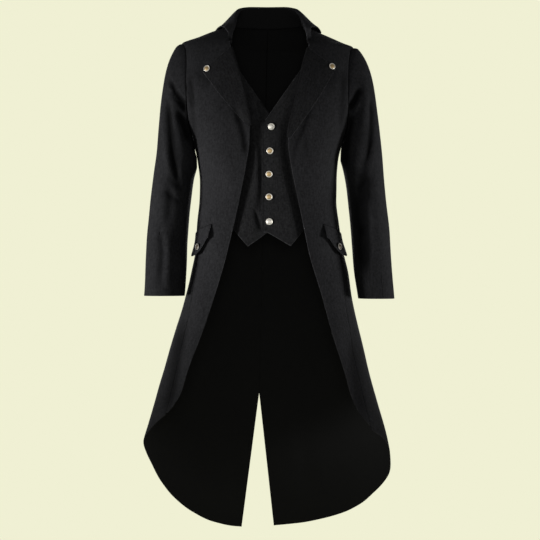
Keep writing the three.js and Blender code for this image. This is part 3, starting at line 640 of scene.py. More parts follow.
def add_layer(piece, name, values):
    """One number for each point of the piece, in metres."""
    layer = piece.data.attributes.new(name, "FLOAT", "POINT")
    layer.data.foreach_set("value", (values.ravel() * MM).astype(np.float32))


def hang(piece, node):
    """The piece stands for its solid, which it hides, and rides on the coat."""
    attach(piece, "root")
    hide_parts(node)


# ---------------------------------------------------------------- fronts and backs


ARM_ROWS, SHOULDER_ROWS = 70, 18


def heights(side, low, skirt_rows):
    """Heights of the rows from low up to the neck, closer together at the armhole's ends."""
    top, bottom = SIDES[side]["arm_top"], SIDES[side]["arm_bottom"]
    half = (top - bottom) / 2
    skirt = spaced(skirt_rows, low, bottom, crowd=0.25)
    arm = bottom + half - half * np.cos(np.linspace(0, np.pi, ARM_ROWS + 1))
    shoulder = spaced(SHOULDER_ROWS, top, NECK_Z)
    return np.concatenate([skirt, arm[1:], shoulder[1:]])


def body_shell(name, angle, z, lift, thickness, sewn, hollow=None, **how):
    """A shell on the body, from grids of angles, heights and lifts. Its painted shade follows the
    troughs of the body's own folds unless other depths for it are given."""
    angle, z, lift = np.broadcast_arrays(angle, z, lift)
    base = body_point(angle, z)
    # painted shade in the troughs of the body's folds
    hollow = -body_folds(base) if hollow is None else hollow
    outer = lifted(angle, z, lift + seam_dip(base, sewn))
    inner = outer - body_normal(angle, z) * thickness
    return shell(name, outer, inner, sewn=sewn, hollow=hollow, **how)


def front(side):
    """A front: each row runs at one height from the front edge to the side."""
    sign, low = SIDES[side]["sign"], SIDES[side]["front_end"]
    z = heights(side, low, 150)[:, None]
    start, end = front_angle(side, z), side_angle(side, z, "front")
    end = end + gap_angle(sign * end, z, SEAM_LAP / 2)
    angle = sign * mix(start, end, spaced(56)[None])
    return body_shell(
        f"front_{side}_cloth", angle, z, 0.0, sizes().coat_cloth / MM,
        sewn=("last_column", "last_row"), free=("first_column", "first_row"),
        facing=FACINGS["front"], materials=(coat_cloth(), lining()),
    )


def back(side):
    """A back: level rows above, and below them rows that sink by their share towards the hem, each
    height found by putting it back into the hem's curve until it settles."""
    sign = SIDES[side]["sign"]
    share = spaced(84)[None]

    def angle_on(z):
        start, end = side_angle(side, z, "back"), centre_back_angle(side, z)
        start = start - gap_angle(sign * start, z, SEAM_LAP / 2)
        end = end + gap_angle(sign * end, z, SEAM_LAP / 2)
        return mix(start, end, share)

    hem = spaced(80, 1, 0, crowd=0.2)[:-1, None]
    low = np.full((len(hem), share.size), float(HEM_TURN_Z))
    for _ in range(20):
        low = mix(HEM_TURN_Z, hem_z[side](angle_on(low)), hem)
    level = heights(side, HEM_TURN_Z, 120)[:, None] * np.ones_like(share)
    z = np.concatenate([low, level])
    return body_shell(
        f"back_{side}_cloth", sign * angle_on(z), z, 0.0, sizes().coat_cloth / MM,
        sewn=("first_column", "last_column", "last_row"), free=("first_row",),
        materials=(coat_cloth(), lining()),
    )


# ---------------------------------------------------------------- sleeves


def armhole_edge(side, turn):
    """The armhole's edge by turn: 0 under the arm, 90 front, 180 shoulder, 270 back, moved by half
    the lap of a seam towards the body and away from the armhole's middle."""
    sign, top, bottom = (SIDES[side][k] for k in ("sign", "arm_top", "arm_bottom"))
    half = (top - bottom) / 2
    z = bottom + half - half * np.cos(np.radians(turn))
    angle = sign * (90 - ARMHOLE_SPAN * np.sin(np.radians(turn)))
    edge = lifted(angle, z, 0.0)
    centre = body_point(sign * 90.0, bottom + half) * np.ones_like(edge)
    centre[..., 0] = edge[..., 0]
    return edge - (np.array([sign, 0, 0]) + unit(centre - edge)) * SEAM_LAP / 2


def sleeve_ring(side, turn, station):
    """A ring's own point: middle - (outer - inner) / 2 * cos * round across, and depth * sin * round
    to the front or back, with round = (|cos|^n + |sin|^n)^(-1/n)."""
    sign = SIDES[side]["sign"]
    drop = CUFF_DROP[side] * station / STATIONS
    zero = np.zeros_like(station * 1.0)
    outer, inner = (np.stack([
        sign * sleeve[f"{end}_{side}"](station), zero, sleeve[f"{end}_z"](station) + drop,
    ], -1) for end in ("outer", "inner"))
    c, s = np.cos(np.radians(turn)), np.sin(np.radians(turn))
    round_ = (np.abs(c) ** SLEEVE_SQUARE + np.abs(s) ** SLEEVE_SQUARE) ** (-1 / SLEEVE_SQUARE)
    depth = np.where(s >= 0, sleeve["front"](station), sleeve["back"](station))
    point = (outer + inner) / 2 + (outer - inner) * (-c * round_ / 2)[..., None]
    point[..., 1] = sleeve["middle_y"](station) - depth * s * round_
    return point


def clear_of_body(side, point, station):
    """Distance from the midline: the soft larger of the point's own and the body's plus a gap,
    (a + b + sqrt((a - b)^2 + softness^2)) / 2. The gap opens where the sleeve leaves the body."""
    soft = SLEEVE_SOFTNESS
    softness = mix(soft["head"], soft["below"], smooth(station / soft["run"]))
    hanging = smooth((station - SLEEVE_EASE["hang_from"]) / SLEEVE_EASE["hang_run"])
    x, y, z = np.abs(point[..., 0]), point[..., 1], point[..., 2]
    depth = np.where(y < 0, ring["front"](z), ring["back"](z))
    power = ring["square"](z)
    inside = np.maximum(1 - np.abs(y / depth) ** power, 0)
    nearest_x = ring[side](z) * inside ** (1 / power) + mix(-SEAM_LAP, SLEEVE_CLEAR, hanging)
    return (x + nearest_x + np.hypot(x - nearest_x, softness)) / 2


def sleeve_point(side, turn, station):
    """The sleeve's face: it leaves the armhole's edge and eases into its own rings."""
    ease = 1 - smooth(station / SLEEVE_EASE["edge"])
    start = armhole_edge(side, turn) - sleeve_ring(side, turn, np.zeros_like(station))
    point = sleeve_ring(side, turn, station) + start * ease[..., None]
    point[..., 0] = SIDES[side]["sign"] * clear_of_body(side, point, station)
    return point


def sleeve_normal(side, turn, station):
    """Outward direction: the slope along the sleeve crossed with the slope round it."""
    turn_step, station_step = 3.0, 0.05
    ahead, behind = np.minimum(station + station_step, STATIONS), np.maximum(station - station_step, 0)
    around = (sleeve_point(side, turn + turn_step, station)
              - sleeve_point(side, turn - turn_step, station))
    along = sleeve_point(side, turn, ahead) - sleeve_point(side, turn, behind)
    return unit(np.cross(along, around)) * SIDES[side]["sign"]


def sleeve_half(side, name, start, end):
    """Top or under sleeve, between two seams, from the armhole to the cuff."""
    station, turn = np.meshgrid(
        spaced(230, 0, STATIONS, crowd=0.3), spaced(80, start, end), indexing="ij")
    lap = np.degrees(SEAM_LAP / 2 / SLEEVE_RADIUS)
    turn = turn + np.linspace(-lap, lap, turn.shape[1])
    point, normal = sleeve_point(side, turn, station), sleeve_normal(side, turn, station)
    x, y, z = np.abs(point[..., 0]), point[..., 1], point[..., 2]
    middle = sleeve["middle_y"](station)
    front_folds, back_folds = (
        fold_height(x, z, SLEEVE_FOLDS[side, face]) for face in ("front", "back"))
    folds = np.where(y < middle, front_folds, back_folds) * smooth(np.abs(y - middle) / FOLD_FADE)
    sewn = ("first_row", "first_column", "last_column")
    loose = smooth(station / SLEEVE_EASE["ripple"])
    lift = (folds * smooth(station / SLEEVE_EASE["folds"])
            + ripple(point, sizes().ripple / MM) * loose + seam_dip(point, sewn[:1]))
    outer = point + normal * lift[..., None]
    inner = outer - normal * sizes().coat_cloth / MM
    # the troughs of the sleeve's folds darken its colour as painted shade
    return shell(f"{name}_{side}_cloth", outer, inner, sewn=sewn, free=("last_row",),
                 materials=(coat_cloth(), lining()), hollow=-folds, seams=sewn[:1])


# ---------------------------------------------------------------- lapels


def lapel_place(side, along, across):
    """Distance from the midline and height on the lapel's triangle, across running from the roll
    to the outer edge, which bows out by LAPEL_BOW * sin(pi along)."""
    lay = LAPELS[side]
    edge_x = front_edge_x[side]
    roll_z = mix(lay["break_z"], lay["top_z"], along)
    bow = LAPEL_BOW * np.sin(np.pi * along)
    x = mix(edge_x(roll_z), mix(edge_x(lay["break_z"]), lay["corner_x"], along) + bow, across)
    z = mix(roll_z, mix(lay["break_z"], lay["corner_z"], along), across)
    return SIDES[side]["sign"] * x, z


def lapel(side):
    """A lapel: part of a circle round the front's edge, then flat on the front."""
    sign = SIDES[side]["sign"]
    along = spaced(110, 0.04, 1)[:, None]
    arc = np.radians(np.linspace(-20, 90, 16))[None]
    flat = spaced(56, 0.09, 1)[None]

    def face(depth):
        x, z = lapel_place(side, along, 0.0)
        radius = ROLL["radius"] - depth
        shift = -radius * np.cos(arc) - LAYER_GAP
        at = angle_at(x, z)
        turned = lifted(at + sign * gap_angle(at, z, shift), z, ROLL["centre"] + radius * np.sin(arc))
        x, z = lapel_place(side, along, flat)
        rest = mix(LAPEL_REST["roll"], LAPEL_REST["edge"], flat) - depth
        return np.concatenate([turned, lifted(angle_at(x, z), z, rest)], axis=1)

    return shell(f"lapel_{side}_cloth", face(0.0), face(sizes().folded_cloth / MM),
                 sewn=("first_column",), free=("last_column", "last_row"),
                 materials=(lapel_cloth(), lapel_cloth()))


# ---------------------------------------------------------------- collar


def neck_seam(side, along):
    """The neck seam: round the back neck at one height, then down the front edge."""
    share, end_z = COLLAR_ENDS["side_share"], COLLAR_ENDS["front_z"]
    z = mix(NECK_Z, end_z, np.clip((along - share) / (1 - share), 0, 1))
    neck = float(NECK_Z)
    around = mix(centre_back_angle(side, neck), front_angle(side, neck), np.clip(along / share, 0, 1))
    angle = np.where(along <= share, around, front_angle(side, z))
    return SIDES[side]["sign"] * angle, z


STAND_COLUMNS = 12


def collar_sections(side, along):
    """Sections of the collar's face, and the direction it faces: straight up the stand, round a
    quarter to half circle at the top, and down a curve bent at one point to the free edge."""
    sign = SIDES[side]["sign"]
    angle, z = neck_seam(side, along)
    seam = lifted(angle, z, COLLAR_FOOT)

    def place(name):
        return np.stack([sign * collar_at[f"{name}_{side}"](along), collar_at[f"{name}_y"](along),
                         collar_at[f"{name}_z"](along)], -1)

    roll, edge = place("roll"), place("edge")
    bend = mix(roll, edge, collar_at["bend"](along)[:, None])
    bend[:, 2] = collar_at["bend_z"](along)
    up = unit(roll - seam)
    fall = bend - roll
    out = unit(fall - up * (fall * up).sum(-1, keepdims=True))
    radius = mix(COLLAR_ROLL["back"], COLLAR_ROLL["front"], smooth((along - 0.5) / 0.4))[:, None]
    centre = roll - up * radius

    def facing(turn):
        return up * np.sin(turn) - out * np.cos(turn)

    turned = np.arccos(np.clip((unit(fall) * up).sum(-1, keepdims=True), -1, 1))
    arc = [(centre + facing(turned * s) * radius, facing(turned * s)) for s in np.linspace(0, 1, 15)]
    foot = seam - out * (sizes().collar_cloth / MM + LAYER_GAP)
    stand = [(mix(foot, arc[0][0], s), facing(0 * turned))
             for s in np.linspace(0, 1, STAND_COLUMNS + 1)[:-1]]
    last = arc[-1][0]
    axis = np.cross(up, out)
    leaf = []
    for s in np.linspace(0, 1, 25)[1:]:
        point = last * (1 - s) ** 2 + bend * 2 * s * (1 - s) + edge * s * s
        slope = unit((bend - last) * (1 - s) + (edge - bend) * s)
        leaf.append((point, unit(np.cross(slope, axis))))
    points, normals = zip(*(stand + arc + leaf))
    return np.stack(points, 1), np.stack(normals, 1)


def collar():
    """The collar, from its right front end round the back to its left."""
    along = spaced(90, crowd=0.2)
    right, left = (collar_sections(side, along) for side in ("right", "left"))
    outer, normal = (np.concatenate([r[:0:-1], l]) for r, l in zip(right, left))
    inner = outer - normal * sizes().collar_cloth / MM
    # painted shade on the collar's front ends; it does not move the cloth
    end = COLLAR_SHADE["depth"] * smooth((along - COLLAR_SHADE["from"]) / (1 - COLLAR_SHADE["from"]))
    return shell("collar_cloth", outer, inner, sewn=("first_column",), lined_columns=STAND_COLUMNS,
                 free=("last_column", "first_row", "last_row"), materials=(collar_cloth(), lining()),
                 hollow=np.concatenate([end[:0:-1], end])[:, None])


# ---------------------------------------------------------------- waistcoat front


def waistcoat_hem(side, x):
    """Hem height at x from the midline: down from the notch to the point, then up."""
    point, notch = WAISTCOAT_POINT[side], WAISTCOAT["notch_z"]
    inner = mix(notch, point["z"], np.clip(x / point["x"], 0, 1))
    return np.where(x < point["x"], inner, point["z"] + (x - point["x"]) * point["hem_slope"])


def waistcoat_row(side, z, share):
    """Distance from the midline on the row at z: from the front edge or neckline to the point's
    column, which keeps one share of the row, and on to the seam inside the front."""
    w = WAISTCOAT
    edge = w["lap_edge_x"] if side == "left" else -w["under_edge_x"]
    neck = w["lap_edge_x"] + (z - w["neck_z"]) * w["neck_slope"] + w[f"neck_shift_{side}"]
    inner = np.maximum(edge, neck)
    outer = front_edge_x[side](z) + w["seam_inset"]
    low = smooth((w["neck_z"] - z) / (w["neck_z"] - w["level_z"]))
    at = w["point_share"]
    bend = mix(mix(inner, outer, at), WAISTCOAT_POINT[side]["x"], low)
    beyond = mix(bend, outer, (share - at) / (1 - at))
    return np.where(share <= at, mix(inner, bend, share / at), beyond)


def waistcoat_lift(side, x, share):
    """Depth inside the coat's face: deepest in the middle, easing up to the seam; the right front
    sinks under the left one's lap."""
    w = WAISTCOAT_LIFT
    under = w["lap"] * smooth((w["lap_x"] - x) / w["lap_run"]) if side == "right" else 0
    rise = smooth((share - w["rise_from"]) / (1 - w["rise_from"]))
    return mix(w["middle"] - under, w["seam"], rise)


def waistcoat_sink(side, x, z):
    """Depth of the hollow beside the coat's front edge, which shallows out up the neckline."""
    w = WAISTCOAT_SINK
    beside = np.exp(-(((x - front_edge_x[side](z)) / w["width"]) ** 2))
    return w["depth"] * beside * smooth((w["shallow_z"] - z) / w["shallow_run"])


def waistcoat(side):
    """A waistcoat front, with rows that sink to its pointed hem as the tails' do."""
    sign, level, neck = SIDES[side]["sign"], WAISTCOAT["level_z"], WAISTCOAT["neck_z"]
    kink = neck + WAISTCOAT[f"kink_{side}"]
    at = WAISTCOAT["point_share"]
    share = np.concatenate([spaced(34, 0, at, crowd=0.3), spaced(26, at, 1, crowd=0.3)[1:]])[None]
    hem = np.linspace(1, 0, 31)[:-1, None]
    low = np.full((len(hem), share.size), float(level))
    for _ in range(20):
        low = mix(level, waistcoat_hem(side, waistcoat_row(side, low, share)), hem)
    levels = np.concatenate([
        spaced(70, level, kink, crowd=0.2), spaced(40, kink, WAISTCOAT["top_z"])[1:],
    ])
    z = np.concatenate([low, levels[:, None] * np.ones_like(share)])
    x = waistcoat_row(side, z, share)
    angle = angle_at(sign * x, z)
    sink = waistcoat_sink(side, x, z)
    folds = fold_height(x, z, WAISTCOAT_FOLDS) if side == "right" else 0
    lift = waistcoat_lift(side, x, np.broadcast_to(share, z.shape)) - sink + folds
    # painted shade along the lap's edge
    lap = np.exp(-(((x - x[:, :1]) / LAP_SHADE["width"]) ** 2)) * (z < kink)
    return body_shell(
        f"waistcoat_{side}_cloth", angle, z, lift, sizes().waistcoat_cloth / MM, sewn=(),
        free=("first_column", "first_row"), facing=FACINGS["waistcoat"],
        materials=(waistcoat_cloth(), lining()),
        # painted shade: half the hollow beside the front edge, the folds' troughs and the lap's edge
        hollow=sink / 2 - folds + LAP_SHADE["depth"] * lap,
    )


# ---------------------------------------------------------------- pocket flaps


def flap_place(share, drop):
    """Unsigned angle and height for a share of the flap's width and a drop below its top edge."""
    return (mix(FLAP["front_angle"], FLAP["back_angle"], share),
            mix(FLAP["front_z"], FLAP["back_z"], share) - drop)


def flap_lift(share, drop, thickness):
    """The flap stands off more towards its lower edge, flare * (drop / longest drop)^2, and curls
    off the coat along its front edge."""
    in_front = 1 - smooth(share / FLAP_CURL["share"])
    curl = FLAP_CURL["lift"] * in_front * smooth(drop / FLAP_CURL["drop"])
    return LAYER_GAP + thickness + FLAP["flare"] * (drop / FLAP["point_drop"]) ** 2 + curl


def flap(side):
    """A pocket flap, square at its ends and pointed at the middle."""
    sign = SIDES[side]["sign"]
    thickness = sizes().folded_cloth / MM
    share, down = spaced(60)[None], spaced(46)[:, None]
    middle = smooth((1 - np.abs(share - 0.5) * 2) / FLAP["shoulder"])
    drop = down * mix(FLAP["end_drop"], FLAP["point_drop"], middle)
    angle, z = flap_place(share, drop)
    return body_shell(
        f"flap_{side}_cloth", sign * angle, z, flap_lift(share, drop, thickness), thickness,
        sewn=(), free=("last_row", "first_column", "last_column"),
        # the flap's underside is the lining darkened as painted shade
        materials=(coat_cloth(), shaded_lining()),
        # painted shade along the flap's top edge
        hollow=FLAP_SEAM_SHADE["depth"] * np.exp(-((drop / FLAP_SEAM_SHADE["width"]) ** 2)),
    )


# ---------------------------------------------------------------- snaps

# Profile of a snap's cap, out from the middle of its base and back to the top of its dome: share of
# the radius and height in millimetres.
CAP_PROFILE = np.array([
    (0.9, 0.0), (0.97, 0.22), (1.0, 0.6), (1.0, 1.0), (0.975, 1.45), (0.93, 1.8), (0.88, 1.98),
    (0.83, 2.02), (0.78, 1.9), (0.745, 1.72), (0.715, 1.68), (0.68, 1.78), (0.62, 2.05),
    (0.54, 2.33), (0.45, 2.57), (0.36, 2.75), (0.27, 2.87), (0.18, 2.95), (0.09, 2.99),
])


def snap(name, seat, normal, finish, segments=72):
    """A cap turned about its axis, closed by a fan at the middle of its base and of its dome. Its
    crown layer is 0 at the edge and 1 at the middle."""
    radius, height = SNAP["radius"], SNAP["height"]
    turn = np.linspace(0, 2 * np.pi, segments, endpoint=False)
    tilt = np.array(Vector((0, 0, 1)).rotation_difference(Vector(normal)).to_matrix())
    r, h = CAP_PROFILE[:, 0, None] * radius, CAP_PROFILE[:, 1, None] * np.ones(segments)
    rings_ = np.stack([r * np.cos(turn), r * np.sin(turn), h], -1)
    local = np.concatenate([rings_.reshape(-1, 3), [[0, 0, 0], [0, 0, height]]])
    number = np.arange(len(CAP_PROFILE) * segments).reshape(-1, segments)
    number = np.column_stack([number, number[:, :1]])
    sides = quads(number).tolist()
    base, top = len(local) - 2, len(local) - 1
    under = [(base, b, a) for a, b in zip(number[0, :-1].tolist(), number[0, 1:].tolist())]
    over = [(top, a, b) for a, b in zip(number[-1, :-1].tolist(), number[-1, 1:].tolist())]
    piece = new_piece(name, local @ tilt.T + seat, sides + under + over, (finish,))
    crown = np.append(np.repeat(1 - CAP_PROFILE[:, 0], segments), [0, 1]) / MM
    add_layer(piece, "crown", crown)
    return piece


def snap_on_body(name, angle, z, lift, finish):
    """A snap seated on the cloth at a place of the body."""
    angle, z = np.float64(angle), np.float64(z)
    normal = body_normal(angle, z)
    return snap(name, lifted(angle, z, lift + SNAP_GAP), normal, finish)


# ---------------------------------------------------------------- materials


def material(name, build):
    """A material with its nodes, built once."""
    found = bpy.data.materials.get(name)
    if found:
        return found
    made = bpy.data.materials.new(name)
    made.use_nodes = True
    nodes = made.node_tree.nodes
    shader = next(n for n in nodes if n.type == "BSDF_PRINCIPLED")
    build(made.node_tree, shader)
    return made


def node(tree, kind, inputs=(), **settings):
    """A node with its settings, and its inputs set to numbers or linked to other nodes' outputs."""
    made = tree.nodes.new(kind)
    for key, value in settings.items():
        setattr(made, key, value)
    for key, value in dict(inputs).items():
        socket = made.inputs[key]
        if isinstance(value, bpy.types.NodeSocket):
            tree.links.new(value, socket)
        else:
            socket.default_value = value
    return made


def maths(tree, operation, *values):
    """Output of a Math node."""
    return node(tree, "ShaderNodeMath", enumerate(values), operation=operation).outputs[0]


def node_group(name, inputs, outputs):
    """An empty group with named number or vector inputs and number outputs."""
    group = bpy.data.node_groups.new(name, "ShaderNodeTree")
    for label, kind, default in inputs:
        socket = group.interface.new_socket(label, in_out="INPUT", socket_type=kind)
        if default is not None:
            socket.default_value = default
    for label in outputs:
        group.interface.new_socket(label, in_out="OUTPUT", socket_type="NodeSocketFloat")
    return group, group.nodes.new("NodeGroupInput").outputs, group.nodes.new("NodeGroupOutput")


# Shares of the threads, the ribs, the nap and a broad mottle in the twill's height and tone.
TWILL = {"cross": 0.25, "rib_tone": 0.06, "nap": 1.8, "broad": 0.3, "middle": 1.55}


def twill_weave():
    """Height and tone of twill: diagonal ribs, sin(2 pi (u + v) / pitch), cut across by threads at
    the other diagonal, over an uneven yarn and a soft mottle of the nap."""
    name = "Twill weave"
    if name in bpy.data.node_groups:
        return bpy.data.node_groups[name]
    group, given, out = node_group(
        name,
        [("Cloth", "NodeSocketVector", None), ("Place", "NodeSocketVector", None),
         ("Pitch", "NodeSocketFloat", 0.0011), ("Mottle", "NodeSocketFloat", 0.2)],
        ["Height", "Tone"],
    )
    split = node(group, "ShaderNodeSeparateXYZ", {"Vector": given["Cloth"]}).outputs
    around = maths(group, "DIVIDE", 2 * np.pi, given["Pitch"])
    rib, cross = (
        maths(group, "SINE", maths(
            group, "MULTIPLY", maths(group, way, split["X"], split["Y"]), around))
        for way in ("ADD", "SUBTRACT"))
    height = maths(group, "MULTIPLY_ADD", cross, TWILL["cross"], rib)
    yarn = node(group, "ShaderNodeTexNoise", {"Vector": node(
        group, "ShaderNodeVectorMath", {0: given["Cloth"], 1: (1, 0.12, 1)}, operation="MULTIPLY",
    ).outputs[0], "Scale": 420.0, "Detail": 2.0}).outputs["Fac"]
    nap = node(group, "ShaderNodeTexNoise",
               {"Vector": given["Place"], "Scale": 190.0, "Detail": 4.0, "Roughness": 0.7}).outputs["Fac"]
    broad = node(group, "ShaderNodeTexNoise",
                 {"Vector": given["Place"], "Scale": 9.0, "Detail": 2.0}).outputs["Fac"]
    uneven = maths(group, "MULTIPLY_ADD", broad, TWILL["broad"], yarn)
    uneven = maths(group, "MULTIPLY_ADD", nap, TWILL["nap"], uneven)
    uneven = maths(group, "SUBTRACT", uneven, TWILL["middle"])
    swing = maths(group, "MULTIPLY", uneven, given["Mottle"])
    tone = maths(group, "ADD", maths(group, "MULTIPLY_ADD", height, TWILL["rib_tone"], 1.0), swing)
    group.links.new(height, out.inputs["Height"])
    group.links.new(tone, out.inputs["Tone"])
    return group


def edge_mask():
    """Mask beside an edge: 1 at the edge, falling to 0 at the width, broken by fine noise. It
    places the painted highlight along free edges and the darkening of seams.
    """
    name = "Pressed edge"
    if name in bpy.data.node_groups:
        return bpy.data.node_groups[name]
    group, given, out = node_group(
        name,
        [("Distance", "NodeSocketFloat", 1.0), ("Width", "NodeSocketFloat", 0.002),
         ("Place", "NodeSocketVector", None)],
        ["Mask"],
    )
    noise = node(group, "ShaderNodeTexNoise", {"Vector": given["Place"], "Scale": 60.0}).outputs["Fac"]
    near = maths(group, "SUBTRACT", 1.0, maths(group, "DIVIDE", given["Distance"], given["Width"]))
    ramp = node(group, "ShaderNodeMapRange", {"Value": near}, interpolation_type="SMOOTHSTEP").outputs[0]
    broken = maths(group, "MULTIPLY", ramp, maths(group, "MULTIPLY_ADD", noise, 0.8, 0.6))
    group.links.new(broken, out.inputs["Mask"])
    return group


EDGE_HIGHLIGHT_WIDTH = 0.0026         # of the painted highlight along a free edge, where a pressed edge would catch the light, in metres
FULL_SHADE_DEPTH = 0.006      # a fold this deep has its full painted shade
BUMP_DEPTH = 0.0003
ROUGHNESS_SWING = 0.08


def cloth(name, colour, pitch, mottle, sheen, edge_highlight, roughness=0.86, bump=0.25, specular=0.16,
          seam_width=0.003, seam_shade=0.5, painted_shade_share=0.0):
    """Black twill: its colour times the weave's tone, lighter along free edges as a painted highlight
    of pressed edges catching the light, darker along seams (a dark seam line, and on the lapels a
    band of painted shade along the roll), and darker still as painted shade where the depth layer
    is deep, mostly in the troughs of the folds. pitch is a rib's width in metres; the gains of the
    edge highlight, the seam shade and the painted shade are shares of the tone."""

    def build(tree, shader):
        place = node(tree, "ShaderNodeTexCoord").outputs["Object"]
        uv = node(tree, "ShaderNodeUVMap", uv_map="cloth").outputs[0]
        weave = node(tree, "ShaderNodeGroup", node_tree=twill_weave())
        for key, value in (("Pitch", pitch), ("Mottle", mottle)):
            weave.inputs[key].default_value = value
        tree.links.new(uv, weave.inputs["Cloth"])
        tree.links.new(place, weave.inputs["Place"])
        tone = weave.outputs["Tone"]
        # free edges get a painted highlight; seams get darker, as a dark seam line and, on the lapels, as
        # painted shade along the roll
        for layer, width, gain in (
            ("free_edge", EDGE_HIGHLIGHT_WIDTH, edge_highlight), ("seam", seam_width, -seam_shade),
        ):
            edge = node(tree, "ShaderNodeGroup", node_tree=edge_mask())
            tree.links.new(place, edge.inputs["Place"])
            away = node(tree, "ShaderNodeAttribute", attribute_name=layer).outputs["Fac"]
            tree.links.new(away, edge.inputs["Distance"])
            edge.inputs["Width"].default_value = width
            change = maths(tree, "MULTIPLY_ADD", edge.outputs["Mask"], gain, 1.0)
            tone = maths(tree, "MULTIPLY", tone, change)
        # painted shade: the depth layer darkens the tone, fully at its deepest
        hollow = node(tree, "ShaderNodeAttribute", attribute_name="hollow").outputs["Fac"]
        deep = node(tree, "ShaderNodeMapRange", {
            "Value": hollow, "From Max": FULL_SHADE_DEPTH, "To Min": 1.0, "To Max": 1 - painted_shade_share,
        }, interpolation_type="SMOOTHSTEP")
        tone = maths(tree, "MULTIPLY", tone, deep.outputs[0])
        shade = node(tree, "ShaderNodeVectorMath", {0: tuple(colour)}, operation="SCALE")
        tree.links.new(tone, shade.inputs["Scale"])
        tree.links.new(shade.outputs[0], shader.inputs["Base Color"])
        relief = node(tree, "ShaderNodeBump", {
            "Strength": bump, "Distance": BUMP_DEPTH, "Height": weave.outputs["Height"]})
        tree.links.new(relief.outputs[0], shader.inputs["Normal"])
        rough = maths(tree, "MULTIPLY_ADD", weave.outputs["Tone"], ROUGHNESS_SWING,
                      roughness - ROUGHNESS_SWING)
        tree.links.new(rough, shader.inputs["Roughness"])
        shader.inputs["Specular IOR Level"].default_value = specular
        shader.inputs["Sheen Weight"].default_value = sheen
        shader.inputs["Sheen Roughness"].default_value = 0.5
        shader.inputs["Sheen Tint"].default_value = (1, 1, 1, 1)

    return material(name, build)


def coat_cloth():
    """The coat's own cloth, with painted highlights along its free edges and painted shade in the
    troughs of its folds.
    """
    return cloth("Coat twill", colours().coat, pitch=0.0011, mottle=1.0, sheen=0.012, edge_highlight=0.4,
                 specular=0.041, seam_shade=0.3, painted_shade_share=0.75)


def lapel_cloth():
    """The same twill, pressed over a stiffener, with a painted highlight along its free edges and a
    wide band of painted shade along its roll, beside the sewn edge.
    """
    return cloth("Lapel twill", colours().lapel, pitch=0.0011, mottle=1.2, sheen=0.009,
                 edge_highlight=0.9, specular=0.035, seam_width=0.012, seam_shade=0.75)


def collar_cloth():
    """The coat's twill, made 1.55 times lighter as painted light falling on the collar, without
    painted edge highlights, and with painted shade at its front ends.
    """
    return cloth("Collar twill", np.array(colours().coat) * 1.55, pitch=0.0011, mottle=1.0,
                 sheen=0.012, edge_highlight=0.0, specular=0.041, painted_shade_share=0.7)


def waistcoat_cloth():
    """The waistcoat's cloth, with painted highlights along its free edges and painted shade in its
    folds, beside the coat's edge and along the lap.
    """
    return cloth("Waistcoat twill", colours().waistcoat, pitch=0.0010, mottle=1.2, sheen=0.012,
                 edge_highlight=0.9, specular=0.035, painted_shade_share=0.6)


def lining():
    """Black lining: a fine, smooth weave with almost no sheen."""
    return cloth("Lining", colours().lining, pitch=0.0004, mottle=0.05, sheen=0.0, edge_highlight=0.0,
                 roughness=0.9, bump=0.05, specular=0.012, seam_shade=0.1)


def shaded_lining():
    """The lining under the flaps, made five times darker as painted shade, since hardly any light
    reaches it.
    """
    return cloth("Deep lining", np.array(colours().lining) * 0.2, pitch=0.0004, mottle=0.05,
                 sheen=0.0, edge_highlight=0.0, roughness=0.9, bump=0.05, specular=0.0)


def blended(tree, factor, first, second):
    """A colour between two, each a colour or another node's output."""
    mixed = node(tree, "ShaderNodeMix", data_type="RGBA")
    tree.links.new(factor, mixed.inputs["Factor"])
    sockets = [i for i in mixed.inputs if i.type == "RGBA"]
    for socket, value in zip(sockets, (first, second)):
        if isinstance(value, bpy.types.NodeSocket):
            tree.links.new(value, socket)
        else:
            socket.default_value = value
    return next(o for o in mixed.outputs if o.type == "RGBA")


# Where the cap's crown layer has its groove, its dark edge, a painted shadow where the cap meets
# the cloth, and its dome.
GROOVE = {"at": 0.285, "width": 0.06}
CAP_EDGE_SHADOW = {"from": 0.01, "to": 0.07}
DOME = {"from": 0.2, "to": 0.4}


